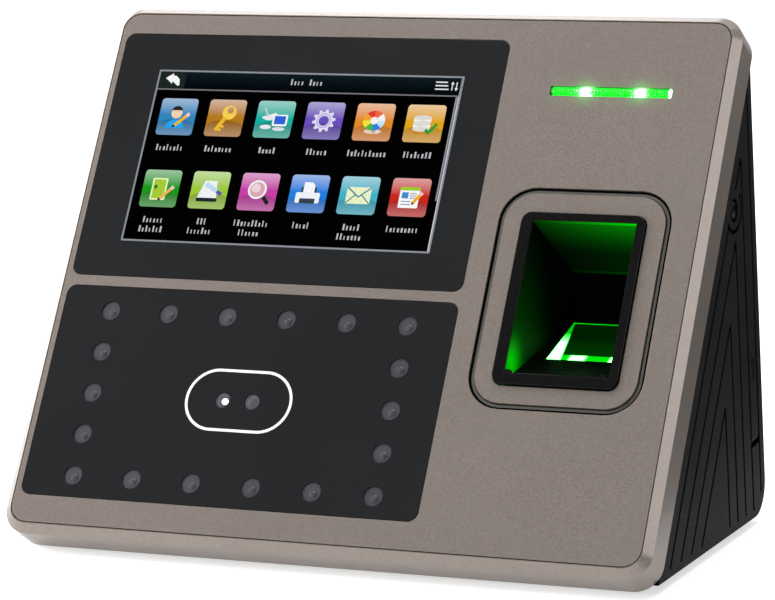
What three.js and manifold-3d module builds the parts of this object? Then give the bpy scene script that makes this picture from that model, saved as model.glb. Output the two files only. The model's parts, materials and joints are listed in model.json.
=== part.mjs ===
// Desk or wall terminal with a touch display, a face window and a fingerprint well.
// Units are millimetres, +Z is up and the face looks towards -Y.
import * as THREE from 'three';
import Module from 'manifold-3d';
import { mergeVertices } from 'three/addons/utils/BufferGeometryUtils.js';

const wasm = await Module();
wasm.setup();

// ---- driving dimensions -------------------------------------------------------------------
const width = 193.6;
const faceHeight = 165.2;
const tilt = THREE.MathUtils.degToRad(32);
const rearLean = THREE.MathUtils.degToRad(5.4);
const gap = 0.3;
const wall = 2.4;

const panel = { half: 94.1, height: 159.3, radius: 5.2, thick: 2 };
const bezel = { chamfer: 2.4, radius: 7.6, depth: 12.3, floor: 2, low: -2.95, cavityTop: 151.9 };
const base = { z: -7.2, cornerY: 105.5, fillet: 9 };
const footTall = 3;
const footProud = 2.5;
const housingHalf = 96;

const display = { u0: -92.45, u1: 29.35, v0: 75.5, v1: 153.1, radius: 3 };
const faceWindow = { u0: -92.45, u1: 29.35, v0: 8, v1: 72.4, radius: 3 };
const picture = { u: -30.85, v: 114, holeHalf: 50.6, holeTall: 29.5, moduleHalf: 52.75, moduleTall: 33.6 };
const leds = { u: -31, v: 39.7, pitchU: 18.43, pitchV: 12.55, columns: 6, rows: 5, hole: 2.9, body: 2.5 };
const cameras = { u: [-35.8, -26.8], v: 39.7, nose: 2.2, barrel: 3.2, body: 4.2 };
const mask = { u0: -82.7, u1: 19.7, v0: 10.8, v1: 69.7, radius: 1.7, flange: 1.2 };
const ring = { u0: 35.9, u1: 86.5, v0: 41.9, v1: 107.9, radius: 10.2, slot: 1.8, outerGap: 0.6 };
const lip = { u0: 43.05, u1: 79.35, v0: 49, v1: 100.2, radius: 3, proud: 1.2 };
const well = {
  u0: 46.6, u1: 76.7, v0: 52.4, v1: 97.7, wall: 1.8, floorEnd: [85.1, -43], roofEnd: [97.7, -35.3],
};
const wellClear = 2.3;
const light = { u0: 43.8, u1: 79.8, v0: 136.1, v1: 139.1, radius: 0.5 };
const sensor = { x0: 51.3, x1: 72, frontY: 47, frontZ: 45.3, backY: 69.3, backZ: 51.6, underside: 40.8 };

const groove = { width: 1.3, depth: 0.9, end: -5, firstA: -19.7, pitchA: -7.6, firstB: 4, pitchB: 7.3 };
const power = { v: 112.4, w: -21.7, hole: 3.45, cap: 2.5, flange: 4.4, arc: 6.1 };
const usb = { low: 14, high: 40.3, lane: 7.65, half: 2.9, pivotX: 93.9, pivotUp: 2.4 };

const plate = { half: 55, low: 46, high: 108, thick: 1.5, slide: 8, studX: 42, studLow: 58, studHigh: 98 };
const recess = { half: 55.6, low: 37, high: 108.6, deep: 2, floor: 2.6 };
const tamper = { x: 18, r: 78, stem: 1.9, collar: 3, tail: 1.4, proud: 1.5 };

// ---- frames ---------------------------------------------------------------------------------
const footLevel = base.z - footProud;
const filletBack = base.fillet / Math.tan((Math.PI / 2 - rearLean) / 2);
const frontEdge = (bezel.low + bezel.chamfer) * Math.sin(tilt);
const backEdge = base.cornerY - filletBack + base.fillet;
const seat = new THREE.Vector3(0, -(frontEdge + backEdge) / 2, -footLevel);
const terminal = new THREE.Group();
const body = new THREE.Group();
body.position.copy(seat);
const face = new THREE.Group();
face.position.copy(seat);
face.rotation.x = Math.PI / 2 - tilt;
const rear = new THREE.Group();
const rearUp = new THREE.Vector3(0, -Math.sin(rearLean), Math.cos(rearLean));
const rearOut = new THREE.Vector3(0, Math.cos(rearLean), Math.sin(rearLean));
const turn = new THREE.Matrix4().makeBasis(new THREE.Vector3(-1, 0, 0), rearUp, rearOut);
rear.quaternion.setFromRotationMatrix(turn);
rear.position.set(0, base.cornerY, base.z).add(seat);
terminal.add(body, face, rear);

// A point (v up the face, w out of it) as (y, z) of the body, and back again.
const toBody = (v, w) => [v * Math.sin(tilt) - w * Math.cos(tilt), v * Math.cos(tilt) + w * Math.sin(tilt)];
const toFace = (y, z) => [y * Math.sin(tilt) + z * Math.cos(tilt), z * Math.sin(tilt) - y * Math.cos(tilt)];
// Distance in from the rear face and height up it, as (y, z) of the body.
const fromRear = (inward, z) => {
  return [base.cornerY - (z - base.z) * Math.tan(rearLean) - inward / Math.cos(rearLean), z];
};

// ---- shapes and solids ------------------------------------------------------------------------
function solid(geometry) {
  const plain = geometry.index ? geometry.toNonIndexed() : geometry.clone();
  plain.deleteAttribute('normal');
  plain.deleteAttribute('uv');
  const merged = mergeVertices(plain, 1e-4);
  return new wasm.Manifold(new wasm.Mesh({
    numProp: 3,
    vertProperties: new Float32Array(merged.attributes.position.array),
    triVerts: new Uint32Array(merged.index.array),
  }));
}

function geometryOf(manifold) {
  const mesh = manifold.getMesh();
  const geometry = new THREE.BufferGeometry();
  geometry.setAttribute('position', new THREE.BufferAttribute(mesh.vertProperties, 3));
  geometry.setIndex(new THREE.BufferAttribute(mesh.triVerts, 1));
  geometry.computeVertexNormals();
  return geometry;
}

const join = (first, ...others) => others.reduce((sum, other) => sum.add(other), first);
const cut = (first, ...others) => others.reduce((rest, other) => rest.subtract(other), first);

function roundedRect(x0, x1, y0, y1, radius) {
  const shape = new THREE.Shape();
  shape.absarc(x1 - radius, y0 + radius, radius, -Math.PI / 2, 0);
  shape.absarc(x1 - radius, y1 - radius, radius, 0, Math.PI / 2);
  shape.absarc(x0 + radius, y1 - radius, radius, Math.PI / 2, Math.PI);
  shape.absarc(x0 + radius, y0 + radius, radius, Math.PI, Math.PI * 1.5);
  shape.closePath();
  return shape;
}

const around = (x, y, half, tall, radius) => roundedRect(x - half, x + half, y - tall, y + tall, radius);
const inset = (r, by, radius) =>
  roundedRect(r.u0 + by, r.u1 - by, r.v0 + by, r.v1 - by, radius ?? r.radius - by);

function slab(shape, z0, z1, curveSegments = 4) {
  const geometry = new THREE.ExtrudeGeometry(shape, { depth: z1 - z0, bevelEnabled: false, curveSegments });
  return solid(geometry.translate(0, 0, z0));
}

// An outline in (y, z) run along x.
const sideways = new THREE.Matrix4().makeBasis(
  new THREE.Vector3(0, 1, 0),
  new THREE.Vector3(0, 0, 1),
  new THREE.Vector3(1, 0, 0),
);
function run(outline, x0, x1) {
  const shape = outline instanceof THREE.Shape ? outline : polygon(outline);
  const options = { depth: x1 - x0, bevelEnabled: false, curveSegments: 5 };
  const geometry = new THREE.ExtrudeGeometry(shape, options);
  return solid(geometry.applyMatrix4(sideways).translate(x0, 0, 0));
}

const polygon = (points) => new THREE.Shape(points.map(([a, b]) => new THREE.Vector2(a, b)));

function block(x0, x1, y0, y1, z0, z1) {
  const geometry = new THREE.BoxGeometry(x1 - x0, y1 - y0, z1 - z0);
  return solid(geometry.translate((x0 + x1) / 2, (y0 + y1) / 2, (z0 + z1) / 2));
}

// A turned solid on the z axis of its frame, from pairs (radius, height) that run up the outside.
function turned(profile, x = 0, y = 0, segments = 16) {
  const points = profile.map(([r, z]) => new THREE.Vector2(r, z));
  const first = new THREE.Vector2(0, profile[0][1]);
  const last = new THREE.Vector2(0, profile[profile.length - 1][1]);
  const lathe = new THREE.LatheGeometry([first, ...points, last], segments);
  return solid(lathe.rotateX(Math.PI / 2).translate(x, y, 0));
}
const peg = (radius, z0, z1, x, y, segments = 16) => turned([[radius, z0], [radius, z1]], x, y, segments);

// A turned solid whose axis runs along +X through (y, z).
function turnedAlongX(profile, y, z, segments = 20) {
  const points = profile.map(([r, x]) => new THREE.Vector2(r, x));
  const first = new THREE.Vector2(0, profile[0][1]);
  const last = new THREE.Vector2(0, profile[profile.length - 1][1]);
  const lathe = new THREE.LatheGeometry([first, ...points, last], segments);
  return solid(lathe.rotateZ(-Math.PI / 2).translate(0, y, z));
}

// The outline moved in by a distance, edge by edge; the outline runs anticlockwise.
function offsetOutline(points, distance) {
  const lines = points.map((point, i) => {
    const next = points[(i + 1) % points.length];
    const length = Math.hypot(next[0] - point[0], next[1] - point[1]);
    const along = [(next[0] - point[0]) / length, (next[1] - point[1]) / length];
    return { at: [point[0] - along[1] * distance, point[1] + along[0] * distance], along };
  });
  return lines.map((line, i) => {
    const before = lines[(i + lines.length - 1) % lines.length];
    const cross = before.along[0] * line.along[1] - before.along[1] * line.along[0];
    const dx = line.at[0] - before.at[0];
    const dy = line.at[1] - before.at[1];
    const t = (dx * line.along[1] - dy * line.along[0]) / cross;
    return [before.at[0] + before.along[0] * t, before.at[1] + before.along[1] * t];
  });
}

function strip(from, to, breadth) {
  const length = Math.hypot(to[0] - from[0], to[1] - from[1]);
  const nx = (-(to[1] - from[1]) / length) * (breadth / 2);
  const ny = ((to[0] - from[0]) / length) * (breadth / 2);
  return [
    [from[0] - nx, from[1] - ny],
    [to[0] - nx, to[1] - ny],
    [to[0] + nx, to[1] + ny],
    [from[0] + nx, from[1] + ny],
  ];
}

// A sheet of even thickness that follows a smooth path, run along x.
function sheet(path, thick, x0, x1) {
  const curve = new THREE.SplineCurve(path.map(([a, b]) => new THREE.Vector2(a, b)));
  const steps = 10;
  const side = (sign) => Array.from({ length: steps + 1 }, (_, i) => {
    const point = curve.getPoint(i / steps);
    const tangent = curve.getTangent(i / steps);
    return [point.x - tangent.y * sign * thick / 2, point.y + tangent.x * sign * thick / 2];
  });
  return run([...side(1), ...side(-1).reverse()], x0, x1);
}

// ---- materials ----------------------------------------------------------------------------
const finish = (color, roughness, metalness = 0) => ({ color, roughness, metalness });
const taupePaint = finish(0x93897f, 0.42, 0.55);
const blackPlastic = finish(0x242424, 0.55);
const blackGlass = finish(0x141516, 0.12);
const darkRubber = finish(0x3a3936, 0.8);
const greenBoard = finish(0x1d4a2c, 0.5);
const steel = finish(0xa9abad, 0.35, 0.9);
const clearPlastic = finish(0x3cff5a, 0.2);
const opticalGlass = finish(0x1a6a2a, 0.05);
const copperFilm = finish(0xa8682c, 0.45);
const whitePlastic = finish(0xd6d4cd, 0.5);

function add(group, name, manifold, look) {
  const mesh = new THREE.Mesh(geometryOf(manifold), new THREE.MeshStandardMaterial(look));
  mesh.name = name;
  group.add(mesh);
}

// ---- front: panel, bezel, glasses --------------------------------------------------------------
const boardThick = 1.6;
const floorTop = -panel.thick - gap;
const floorBack = floorTop - bezel.floor;
const bossSpots = [[-88.6, 140], [88.6, 140], [-88.6, 10], [88.6, 10]];
const screw = { head: 2.8, shank: 1.45, boss: 3.5, well: 3.2, tip: -6.5, headFloor: -17.5, headTall: 2.2 };

function makeFrontPanel() {
  const outline = roundedRect(-panel.half, panel.half, 0, panel.height, panel.radius);
  outline.holes.push(inset(display, 0), inset(faceWindow, 0), inset(ring, 0));
  outline.holes.push(inset(light, 0));
  return slab(outline, -panel.thick, 0);
}

function makeBezelFrame() {
  const half = width / 2;
  const top = bezel.low + faceHeight;
  const outline = roundedRect(-half, half, bezel.low, top, bezel.radius);
  const spare = 6;
  const outer = new THREE.ExtrudeGeometry(outline, {
    depth: bezel.depth + spare - bezel.chamfer,
    bevelThickness: bezel.chamfer,
    bevelSize: bezel.chamfer,
    bevelOffset: -bezel.chamfer,
    bevelSegments: 1,
    curveSegments: 5,
  });
  const frame = solid(outer.translate(0, 0, -bezel.depth - spare));
  const behind = block(-width, width, -width, width, -2 * spare - bezel.depth, -bezel.depth);
  const seatHole = roundedRect(-panel.half - gap, panel.half + gap, -gap, panel.height + gap,
    panel.radius + gap);
  const cavity = roundedRect(wall - half, half - wall, bezel.low + wall, bezel.cavityTop,
    bezel.radius - wall);
  const bosses = bossSpots.map(([u, v]) => peg(screw.boss, -bezel.depth, floorBack + 0.5, u, v));
  const bores = bossSpots.map(([u, v]) => peg(screw.shank + gap, -bezel.depth - 1, screw.tip + gap, u, v));
  const openings = [
    around(picture.u, picture.v, picture.holeHalf, picture.holeTall, 1),
    roundedRect(mask.u0 - gap, mask.u1 + gap, mask.v0 - gap, mask.v1 + gap, mask.radius + gap),
    inset(well, -wellClear, wellClear / 4),
    inset(light, 0, light.radius),
  ].map((shape) => slab(shape, floorBack - 1, 1, 3));
  const room = slab(cavity, -bezel.depth - 1, floorBack, 4);
  const tray = cut(frame, behind, slab(seatHole, floorTop, 2, 5), room);
  return cut(join(tray, ...bosses), ...bores, ...openings);
}

const ledSpots = [];
for (let row = 0; row < leds.rows; row += 1) {
  for (let column = 0; column < leds.columns; column += 1) {
    const border = row === 0 || row === leds.rows - 1 || column === 0 || column === leds.columns - 1;
    const u = leds.u + (column - (leds.columns - 1) / 2) * leds.pitchU;
    const v = leds.v + (row - (leds.rows - 1) / 2) * leds.pitchV;
    if (border) {
      ledSpots.push([u, v]);
    }
  }
}

function makeLedMask() {
  const raised = slab(inset(mask, 0), floorBack - gap - mask.flange / 2, floorTop, 3);
  const flange = block(mask.u0 - 1.7, mask.u1 + 1.7, 8, 72, floorBack - gap - mask.flange, floorBack - gap);
  const holes = ledSpots.map(([u, v]) => peg(leds.hole, floorBack - 3, 0, u, v, 12));
  const eyes = cameras.u.map((u) => peg(cameras.nose + gap, floorBack - 3, 0, u, cameras.v, 14));
  return cut(join(raised, flange), ...holes, ...eyes);
}

function makeLedBoard() {
  const front = floorBack - gap - mask.flange - 2 * gap;
  const board = block(-84, 21, 9, 71, front - boardThick, front);
  const domes = ledSpots.map(([u, v]) => {
    const tip = -2.7;
    const dome = [[leds.body * 0.7, tip - 0.4], [0.6, tip]];
    const profile = [[leds.body, front - 0.5], [leds.body, tip - 1.4], ...dome];
    return turned(profile, u, v, 10);
  });
  return cut(join(board, ...domes), block(-43, -21, 33, 48, front - 3, front + 1));
}

function makeCamera(u) {
  const { nose, barrel, body: half, v } = cameras;
  const lens = [[half, -12], [half, -8.8], [barrel, -8.8], [barrel, -6.6], [nose, -6.6], [nose, -3]];
  return join(turned(lens, u, v, 16), block(u - half, u + half, v - half, v + half, -16, -11.5));
}

// ---- fingerprint well -----------------------------------------------------------------------
const wellOutline = [
  [well.v0, 4],
  [well.v0, -2.1],
  well.floorEnd,
  well.roofEnd,
  [well.v1, 4],
];

function makeFingerWell() {
  const rim = slab(inset(lip, 0), -panel.thick, lip.proud, 5);
  const shellOutline = offsetOutline(wellOutline, -well.wall);
  const shell = run(shellOutline, well.u0 - well.wall, well.u1 + well.wall);
  const front = block(-width, width, 0, faceHeight, -panel.thick + 0.5, 20);
  const hollow = run(wellOutline, well.u0, well.u1);
  const clear = 0.35;
  const corners = [
    toFace(sensor.frontY - clear, sensor.underside - 4),
    toFace(sensor.backY + clear, sensor.underside - 4),
    toFace(sensor.backY + clear, sensor.backZ + 2),
    toFace(sensor.frontY - clear, sensor.frontZ + 2),
  ];
  const port = run(corners, sensor.x0 - clear, sensor.x1 + clear);
  return cut(join(rim, cut(shell, front)), hollow, port);
}

function makeSensorWindow() {
  const { frontY, frontZ, backY, backZ, underside } = sensor;
  return run([[frontY, underside], [backY, underside], [backY, backZ], [frontY, frontZ]],
    sensor.x0, sensor.x1);
}

function makeSensorModule() {
  const shell = run([[44, 24], [72, 24], [72, 40.4], [46.5, 40.4], [44, 36]], 49, 74.5);
  const lens = turnedAlongX([[4, 74], [4, 77]], 58, 32, 14);
  return join(shell, lens);
}

// ---- rear housing ---------------------------------------------------------------------------
const seamW = -bezel.depth - gap;

function housingOutline(by) {
  // by moves the base and the rear face in; the front edge lies on the seam, or past it when hollow.
  const front = by > 0 ? seamW + 8 : seamW;
  const low = base.z + by;
  const onFront = (z) => toBody((z - front * Math.sin(tilt)) / Math.cos(tilt), front);
  const start = onFront(low);
  const corner = fromRear(by, low);
  const reach = fromRear(by, 100);
  const slope = (reach[0] - corner[0]) / (reach[1] - corner[1]);
  const climb = Math.tan(tilt);
  const [y0, z0] = start;
  const top = (y0 - corner[0] + slope * corner[1] - climb * z0) / (slope - climb);
  const apex = [corner[0] + (top - corner[1]) * slope, top];
  const radius = base.fillet - by;
  const back = radius / Math.tan((Math.PI / 2 - rearLean) / 2);
  const shape = new THREE.Shape();
  shape.moveTo(...start);
  shape.lineTo(corner[0] - back, low);
  shape.absarc(corner[0] - back, low + radius, radius, -Math.PI / 2, rearLean);
  shape.lineTo(...apex);
  shape.closePath();
  return shape;
}

function crossing(w, inward) {
  // Intersection of the face-parallel line w with the line at a distance in from the rear face.
  const slope = Math.tan(rearLean);
  const offset = base.cornerY + base.z * slope - inward / Math.cos(rearLean);
  const z = (w + offset * Math.cos(tilt)) / (Math.sin(tilt) + slope * Math.cos(tilt));
  return fromRear(inward, z);
}

function grooveLines(withButton) {
  const lines = [];
  const onA = (w, z) => toBody((z - w * Math.sin(tilt)) / Math.cos(tilt), w);
  for (let k = 0; k < 4; k += 1) {
    const w = groove.firstA + groove.pitchA * k;
    const apex = crossing(w, groove.firstB + groove.pitchB * (k + 1));
    if (k === 0 && withButton) {
      const half = Math.sqrt(power.arc ** 2 - (w - power.w) ** 2);
      lines.push([apex, toBody(power.v + half - 0.3, w)], [toBody(power.v - half, w), onA(w, groove.end)]);
    } else {
      lines.push([apex, onA(w, groove.end)]);
    }
  }
  for (let k = 0; k < 5; k += 1) {
    const inward = groove.firstB + groove.pitchB * k;
    const w = k === 0 ? seamW - 1.5 : groove.firstA + groove.pitchA * (k - 1);
    lines.push([crossing(w, inward), fromRear(inward, k === 0 ? groove.end + 4 : groove.end)]);
  }
  return lines;
}

function arcGroove() {
  const [y, z] = toBody(power.v, power.w);
  const half = groove.width / 2;
  const lean = Math.atan2(Math.cos(tilt), Math.sin(tilt));
  const from = lean - Math.PI * 1.16;
  const to = lean - 0.25;
  const shape = new THREE.Shape();
  shape.absarc(y, z, power.arc + half, from, to, false);
  shape.absarc(y, z, power.arc - half, to, from, true);
  shape.closePath();
  return run(shape, housingHalf - groove.depth, housingHalf + 1);
}

const usbMid = (z) => fromRear(usb.lane, z);
const screwPost = ([u, v]) => peg(4.4, -60, seamW, u, v, 14);

function inBody(manifold) {
  // Moves a solid made in the face frame into the body frame.
  const geometry = geometryOf(manifold).applyMatrix4(new THREE.Matrix4().makeRotationX(Math.PI / 2 - tilt));
  return solid(geometry);
}

function inBodyFromRear(manifold) {
  const place = new THREE.Matrix4().makeTranslation(0, base.cornerY, base.z).multiply(turn);
  return solid(geometryOf(manifold).applyMatrix4(place));
}

const rearPorts = [
  { name: 'network_socket', x0: -34.5, x1: -17.5, r0: 15.5, r1: 29.5 },
  { name: 'terminal_block', x0: -12.5, x1: 20.5, r0: 16, r1: 27 },
  { name: 'power_inlet', x0: 25.5, x1: 36.5, r0: 16, r1: 27 },
];

function makeRearHousing() {
  const outer = run(housingOutline(0), -housingHalf, housingHalf);
  const hollow = run(housingOutline(wall), wall - housingHalf, housingHalf - wall);
  const posts = bossSpots.map((spot) => inBody(screwPost(spot)).intersect(outer));
  const wells = bossSpots.flatMap(([u, v]) => [
    inBody(peg(screw.well, -80, screw.headFloor, u, v, 14)),
    inBody(peg(screw.shank + gap, -40, 0, u, v, 14)),
  ]);
  const pad = block(-recess.half - 2, recess.half + 2, recess.low - 2, recess.high + 2,
    -recess.deep - recess.floor, -1);
  const shell = join(cut(outer, hollow), ...posts, inBodyFromRear(pad).intersect(outer));

  const pocket = slab(roundedRect(-recess.half, recess.half, recess.low, recess.high, 3), -recess.deep, 5, 3);
  const keyholes = [-plate.studX, plate.studX].flatMap((x) => [plate.studLow, plate.studHigh].flatMap((r) => [
    peg(3.9, -12, 1, x, r - plate.slide, 14),
    slab(roundedRect(x - 2.1, x + 2.1, r - plate.slide, r + 2.1, 2), -12, 1, 3),
  ]));
  const tamperHole = peg(tamper.stem + gap, -12, 1, tamper.x, tamper.r, 14);
  const ports = rearPorts.map(({ x0, x1, r0, r1 }) => block(x0, x1, r0, r1, -6, 4));
  const rearCuts = [pocket, ...keyholes, tamperHole, ...ports].map(inBodyFromRear);

  const sides = [-1, 1].flatMap((side) => grooveLines(side > 0).map(([from, to]) => {
    const ends = [side * (housingHalf - groove.depth), side * (housingHalf + 1)].sort((a, b) => a - b);
    return run(strip(from, to, groove.width), ...ends);
  }));
  const [buttonY, buttonZ] = toBody(power.v, power.w);
  const buttonHole = turnedAlongX([[power.hole, 90], [power.hole, 98]], buttonY, buttonZ, 20);
  const usbHole = run(usbOutline(0.3), 90, 98);
  const pinHole = pinSolid(0.3, usb.half + 2.6);
  const footSeats = footSpots.map(([x, y]) => peg(5.3, base.z - 1, base.z + 0.8, x, y, 16));
  const slots = [-2, -1, 0, 1, 2].map((i) => {
    const half = 10 - Math.abs(i) * 1.6;
    const x = speaker.x + i * 4;
    return block(x - 0.9, x + 0.9, speaker.y - half, speaker.y + half, -12, 0);
  });
  const shellCuts = [...wells, ...rearCuts, ...sides, arcGroove(), buttonHole, usbHole, pinHole];
  return cut(shell, ...shellCuts, ...footSeats, ...slots);
}

const footSpots = [[-82, 21], [82, 21], [-82, 90], [82, 90]];
const speaker = { x: 58, y: 60, radius: 14 };

// ---- USB cover ---------------------------------------------------------------------------------
const across = new THREE.Vector2(Math.cos(rearLean), Math.sin(rearLean));
function usbOutline(grow) {
  const half = usb.half + grow;
  const at = (z, side) => {
    const [y, level] = usbMid(z);
    return [y + across.x * half * side, level + across.y * half * side];
  };
  return [at(usb.low - grow, -1), at(usb.low - grow, 1), at(usb.high + grow, 1), at(usb.high + grow, -1)];
}

const pivot = usbMid(usb.low + usb.pivotUp);
function pinSolid(grow, half) {
  const radius = 0.6 + grow;
  const geometry = new THREE.CylinderGeometry(radius, radius, half * 2, 12);
  geometry.rotateX(rearLean).translate(usb.pivotX, pivot[0], pivot[1]);
  return solid(geometry);
}

function makeUsbCover() {
  const slat = run(usbOutline(0), 93.2, housingHalf);
  const knuckleLength = usb.half * 2;
  const reach = housingHalf - usb.pivotX;
  const knuckle = new THREE.CylinderGeometry(reach, reach, knuckleLength, 16);
  knuckle.rotateX(rearLean).translate(usb.pivotX, pivot[0], pivot[1]);
  const tail = run(usbOutline(0.5), 90, 98).intersect(block(85, 99, 60, 120, -10, pivot[1]));
  return cut(join(cut(slat, tail), solid(knuckle)), pinSolid(0.3, 6));
}

// ---- assembly --------------------------------------------------------------------------------
add(face, 'front_panel', makeFrontPanel(), taupePaint);
add(face, 'bezel_frame', makeBezelFrame(), taupePaint);
add(face, 'display_glass', slab(inset(display, 0.2), -panel.thick, 0, 3), blackGlass);
add(face, 'face_window', slab(inset(faceWindow, 0.2), -panel.thick, 0, 3), blackGlass);

const gasketShape = inset(ring, ring.outerGap);
gasketShape.holes.push(inset(ring, ring.slot - gap));
add(face, 'finger_gasket', slab(gasketShape, -panel.thick, -0.7, 5), darkRubber);
const fingerPlateShape = inset(ring, ring.slot);
fingerPlateShape.holes.push(inset(lip, -0.25));
add(face, 'finger_plate', slab(fingerPlateShape, -panel.thick, 0, 5), taupePaint);
add(face, 'finger_well', makeFingerWell(), blackPlastic);
add(body, 'sensor_window', makeSensorWindow(), opticalGlass);
add(body, 'sensor_module', makeSensorModule(), blackPlastic);
add(body, 'sensor_board', block(44, 79, 42, 75, 23.7 - boardThick, 23.7), greenBoard);

const lensShape = inset(light, 0.2);
add(face, 'status_light_lens', slab(lensShape, floorBack - 0.6, -0.1, 2), clearPlastic);
const lightBoard = block(40, 84, 133, 142, -6 - boardThick, -6);
const chipSpots = [0, 1, 2, 3].map((i) => 48 + i * 8.6);
const lightChips = chipSpots.map((u) => block(u - 1.4, u + 1.4, 136.2, 139, -6.5, -5.2));
add(face, 'status_light_board', join(lightBoard, ...lightChips), greenBoard);

const lcd = {
  u0: picture.u - picture.moduleHalf,
  u1: picture.u + picture.moduleHalf,
  v0: picture.v - picture.moduleTall,
  v1: picture.v + picture.moduleTall,
};
const touchBack = floorBack - gap - 1.1;
add(face, 'touch_sensor', block(lcd.u0, lcd.u1, lcd.v0, lcd.v1, touchBack, floorBack - gap), blackGlass);
add(face, 'lcd_module', block(lcd.u0, lcd.u1, lcd.v0, lcd.v1, touchBack - 3.2, touchBack - gap), steel);
const bracketTop = touchBack - 3.5;
const bracketShape = roundedRect(lcd.u0 - 0.8, lcd.u1 + 0.8, lcd.v0 - 1.4, lcd.v1 + 1.4, 2);
for (let i = 0; i < 4; i += 1) {
  const u = lcd.u0 + 9 + i * 23;
  bracketShape.holes.push(roundedRect(u, u + 18, picture.v - 9, picture.v + 9, 2));
}
add(face, 'lcd_bracket', slab(bracketShape, bracketTop - 1.5, bracketTop, 2), blackPlastic);
add(face, 'ir_led_mask', makeLedMask(), blackPlastic);
add(face, 'ir_led_board', makeLedBoard(), greenBoard);
add(face, 'infrared_camera', makeCamera(cameras.u[0]), blackPlastic);
add(face, 'colour_camera', makeCamera(cameras.u[1]), blackPlastic);
add(face, 'camera_board', block(-47, -17, 32, 49, -16.3 - boardThick, -16.3), greenBoard);

add(body, 'rear_housing', makeRearHousing(), blackPlastic);
footSpots.forEach(([x, y], i) => {
  const top = footLevel + footTall;
  const foot = turned([[4.6, footLevel], [5, footLevel + 0.5], [5, top]], x, y, 16);
  add(body, `foot_${i + 1}`, foot, darkRubber);
});
bossSpots.forEach(([u, v], i) => {
  const head = screw.headFloor - gap;
  const profile = [
    [screw.head - 0.4, head - screw.headTall],
    [screw.head, head - screw.headTall + 0.4],
    [screw.head, head],
    [screw.shank, head],
    [screw.shank, screw.tip - 0.8],
    [0.7, screw.tip],
  ];
  add(face, `case_screw_${i + 1}`, turned(profile, u, v, 12), steel);
});

const boardFront = -24;
const boardBack = boardFront - boardThick;
const board = block(-86, 34, 16, 112, boardBack, boardFront);
const bed = boardBack + 0.5;
const boardParts = [
  block(-80, -62, 20, 27, boardBack - 8, bed), // lead socket of the network port
  block(-55, -40, 20, 26, boardBack - 6, bed), // lead socket of the terminals
  block(-62, -42, 90, 102, boardBack - 4, bed), // power converter
  block(4, 26, 22, 34, boardBack - 5, bed), // relay
  block(-52, -24, 62, 67, boardFront - 0.5, boardFront + 3), // display ribbon socket
  peg(4, boardBack - 10, bed, -75, 60, 12), // two smoothing capacitors
  peg(4, boardBack - 10, bed, -75, 72, 12),
];
add(face, 'main_board', join(board, ...boardParts), greenBoard);
add(face, 'processor_module', block(-48, -14, 38, 72, boardBack - 4.4, boardBack - gap), steel);
add(face, 'clock_battery', peg(6.2, boardBack - 3, boardBack - gap, 16, 60, 20), steel);
add(face, 'card_antenna_board', block(40, 83, 4, 38, floorBack - gap - 1.2, floorBack - gap), greenBoard);
add(body, 'backup_battery', block(-44, 20, 44, 80, base.z + wall + gap, 6), finish(0x27486e, 0.5));
const cone = base.z + wall + gap;
const speakerMagnet = [[9, cone + 5.5], [9, cone + 8.5]];
const speakerProfile = [[speaker.radius, cone], [speaker.radius, cone + 2.5], ...speakerMagnet];
add(body, 'speaker', turned(speakerProfile, speaker.x, speaker.y, 24), steel);
const displayFold = [[78, -8.2], [76, -12], [73.4, -17.5], [71.5, -23.5]];
add(face, 'display_ribbon', sheet(displayFold, 0.4, -46, -24), copperFilm);
add(body, 'sensor_ribbon', sheet([[45, 21.6], [40, 20], [33, 8], [32.6, 1.5]], 0.4, 50, 62), copperFilm);

// ---- rear connectors ----------------------------------------------------------------------------
add(rear, 'connector_board', block(-42, 42, 12, 34, -15.5 - boardThick, -15.5), greenBoard);
rearPorts.forEach(({ name, x0, x1, r0, r1 }) => {
  const shell = block(x0 + 0.3, x1 - 0.3, r0 + 0.3, r1 - 0.3, -15.2, -1.2);
  if (name === 'network_socket') {
    const mouth = block(x0 + 2.4, x1 - 2.4, r0 + 2, r1 - 4.2, -11.5, 0);
    const latch = block(x0 + 5.4, x1 - 5.4, r1 - 4.5, r1 - 2.6, -11.5, 0);
    add(rear, name, cut(shell, mouth, latch), steel);
  } else if (name === 'power_inlet') {
    const middle = (x0 + x1) / 2;
    const level = (r0 + r1) / 2;
    const pin = peg(1, -13, -3, middle, level, 8);
    add(rear, name, join(cut(shell, peg(3.1, -12, 0, middle, level, 16)), pin), blackPlastic);
  } else {
    const entries = [0, 1, 2, 3, 4, 5, 6, 7].map((i) => {
      const x = x0 + 2.5 + i * 4;
      return block(x - 1.2, x + 1.2, r0 + 3.5, r0 + 7, -9, 0);
    });
    add(rear, name, cut(shell, ...entries), finish(0x2f7d46, 0.5));
  }
});

// ---- moving parts -----------------------------------------------------------------------------
const [buttonY, buttonZ] = toBody(power.v, power.w);
const { cap, flange } = power;
const buttonProfile = [[1.4, 90.9], [1.4, 92], [flange, 92], [flange, 93.2], [cap, 93.2], [cap, 95.6]];
const buttonDome = [...buttonProfile, [cap - 0.4, 95.9]];
add(body, 'power_button', turnedAlongX(buttonDome, buttonY, buttonZ, 24), blackPlastic);
const tactile = block(86, 89.8, buttonY - 3, buttonY + 3, buttonZ - 3, buttonZ + 3);
add(body, 'power_switch', join(tactile, block(84.6, 86.2, buttonY - 4, buttonY + 4, 74, 92)), whitePlastic);

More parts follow.
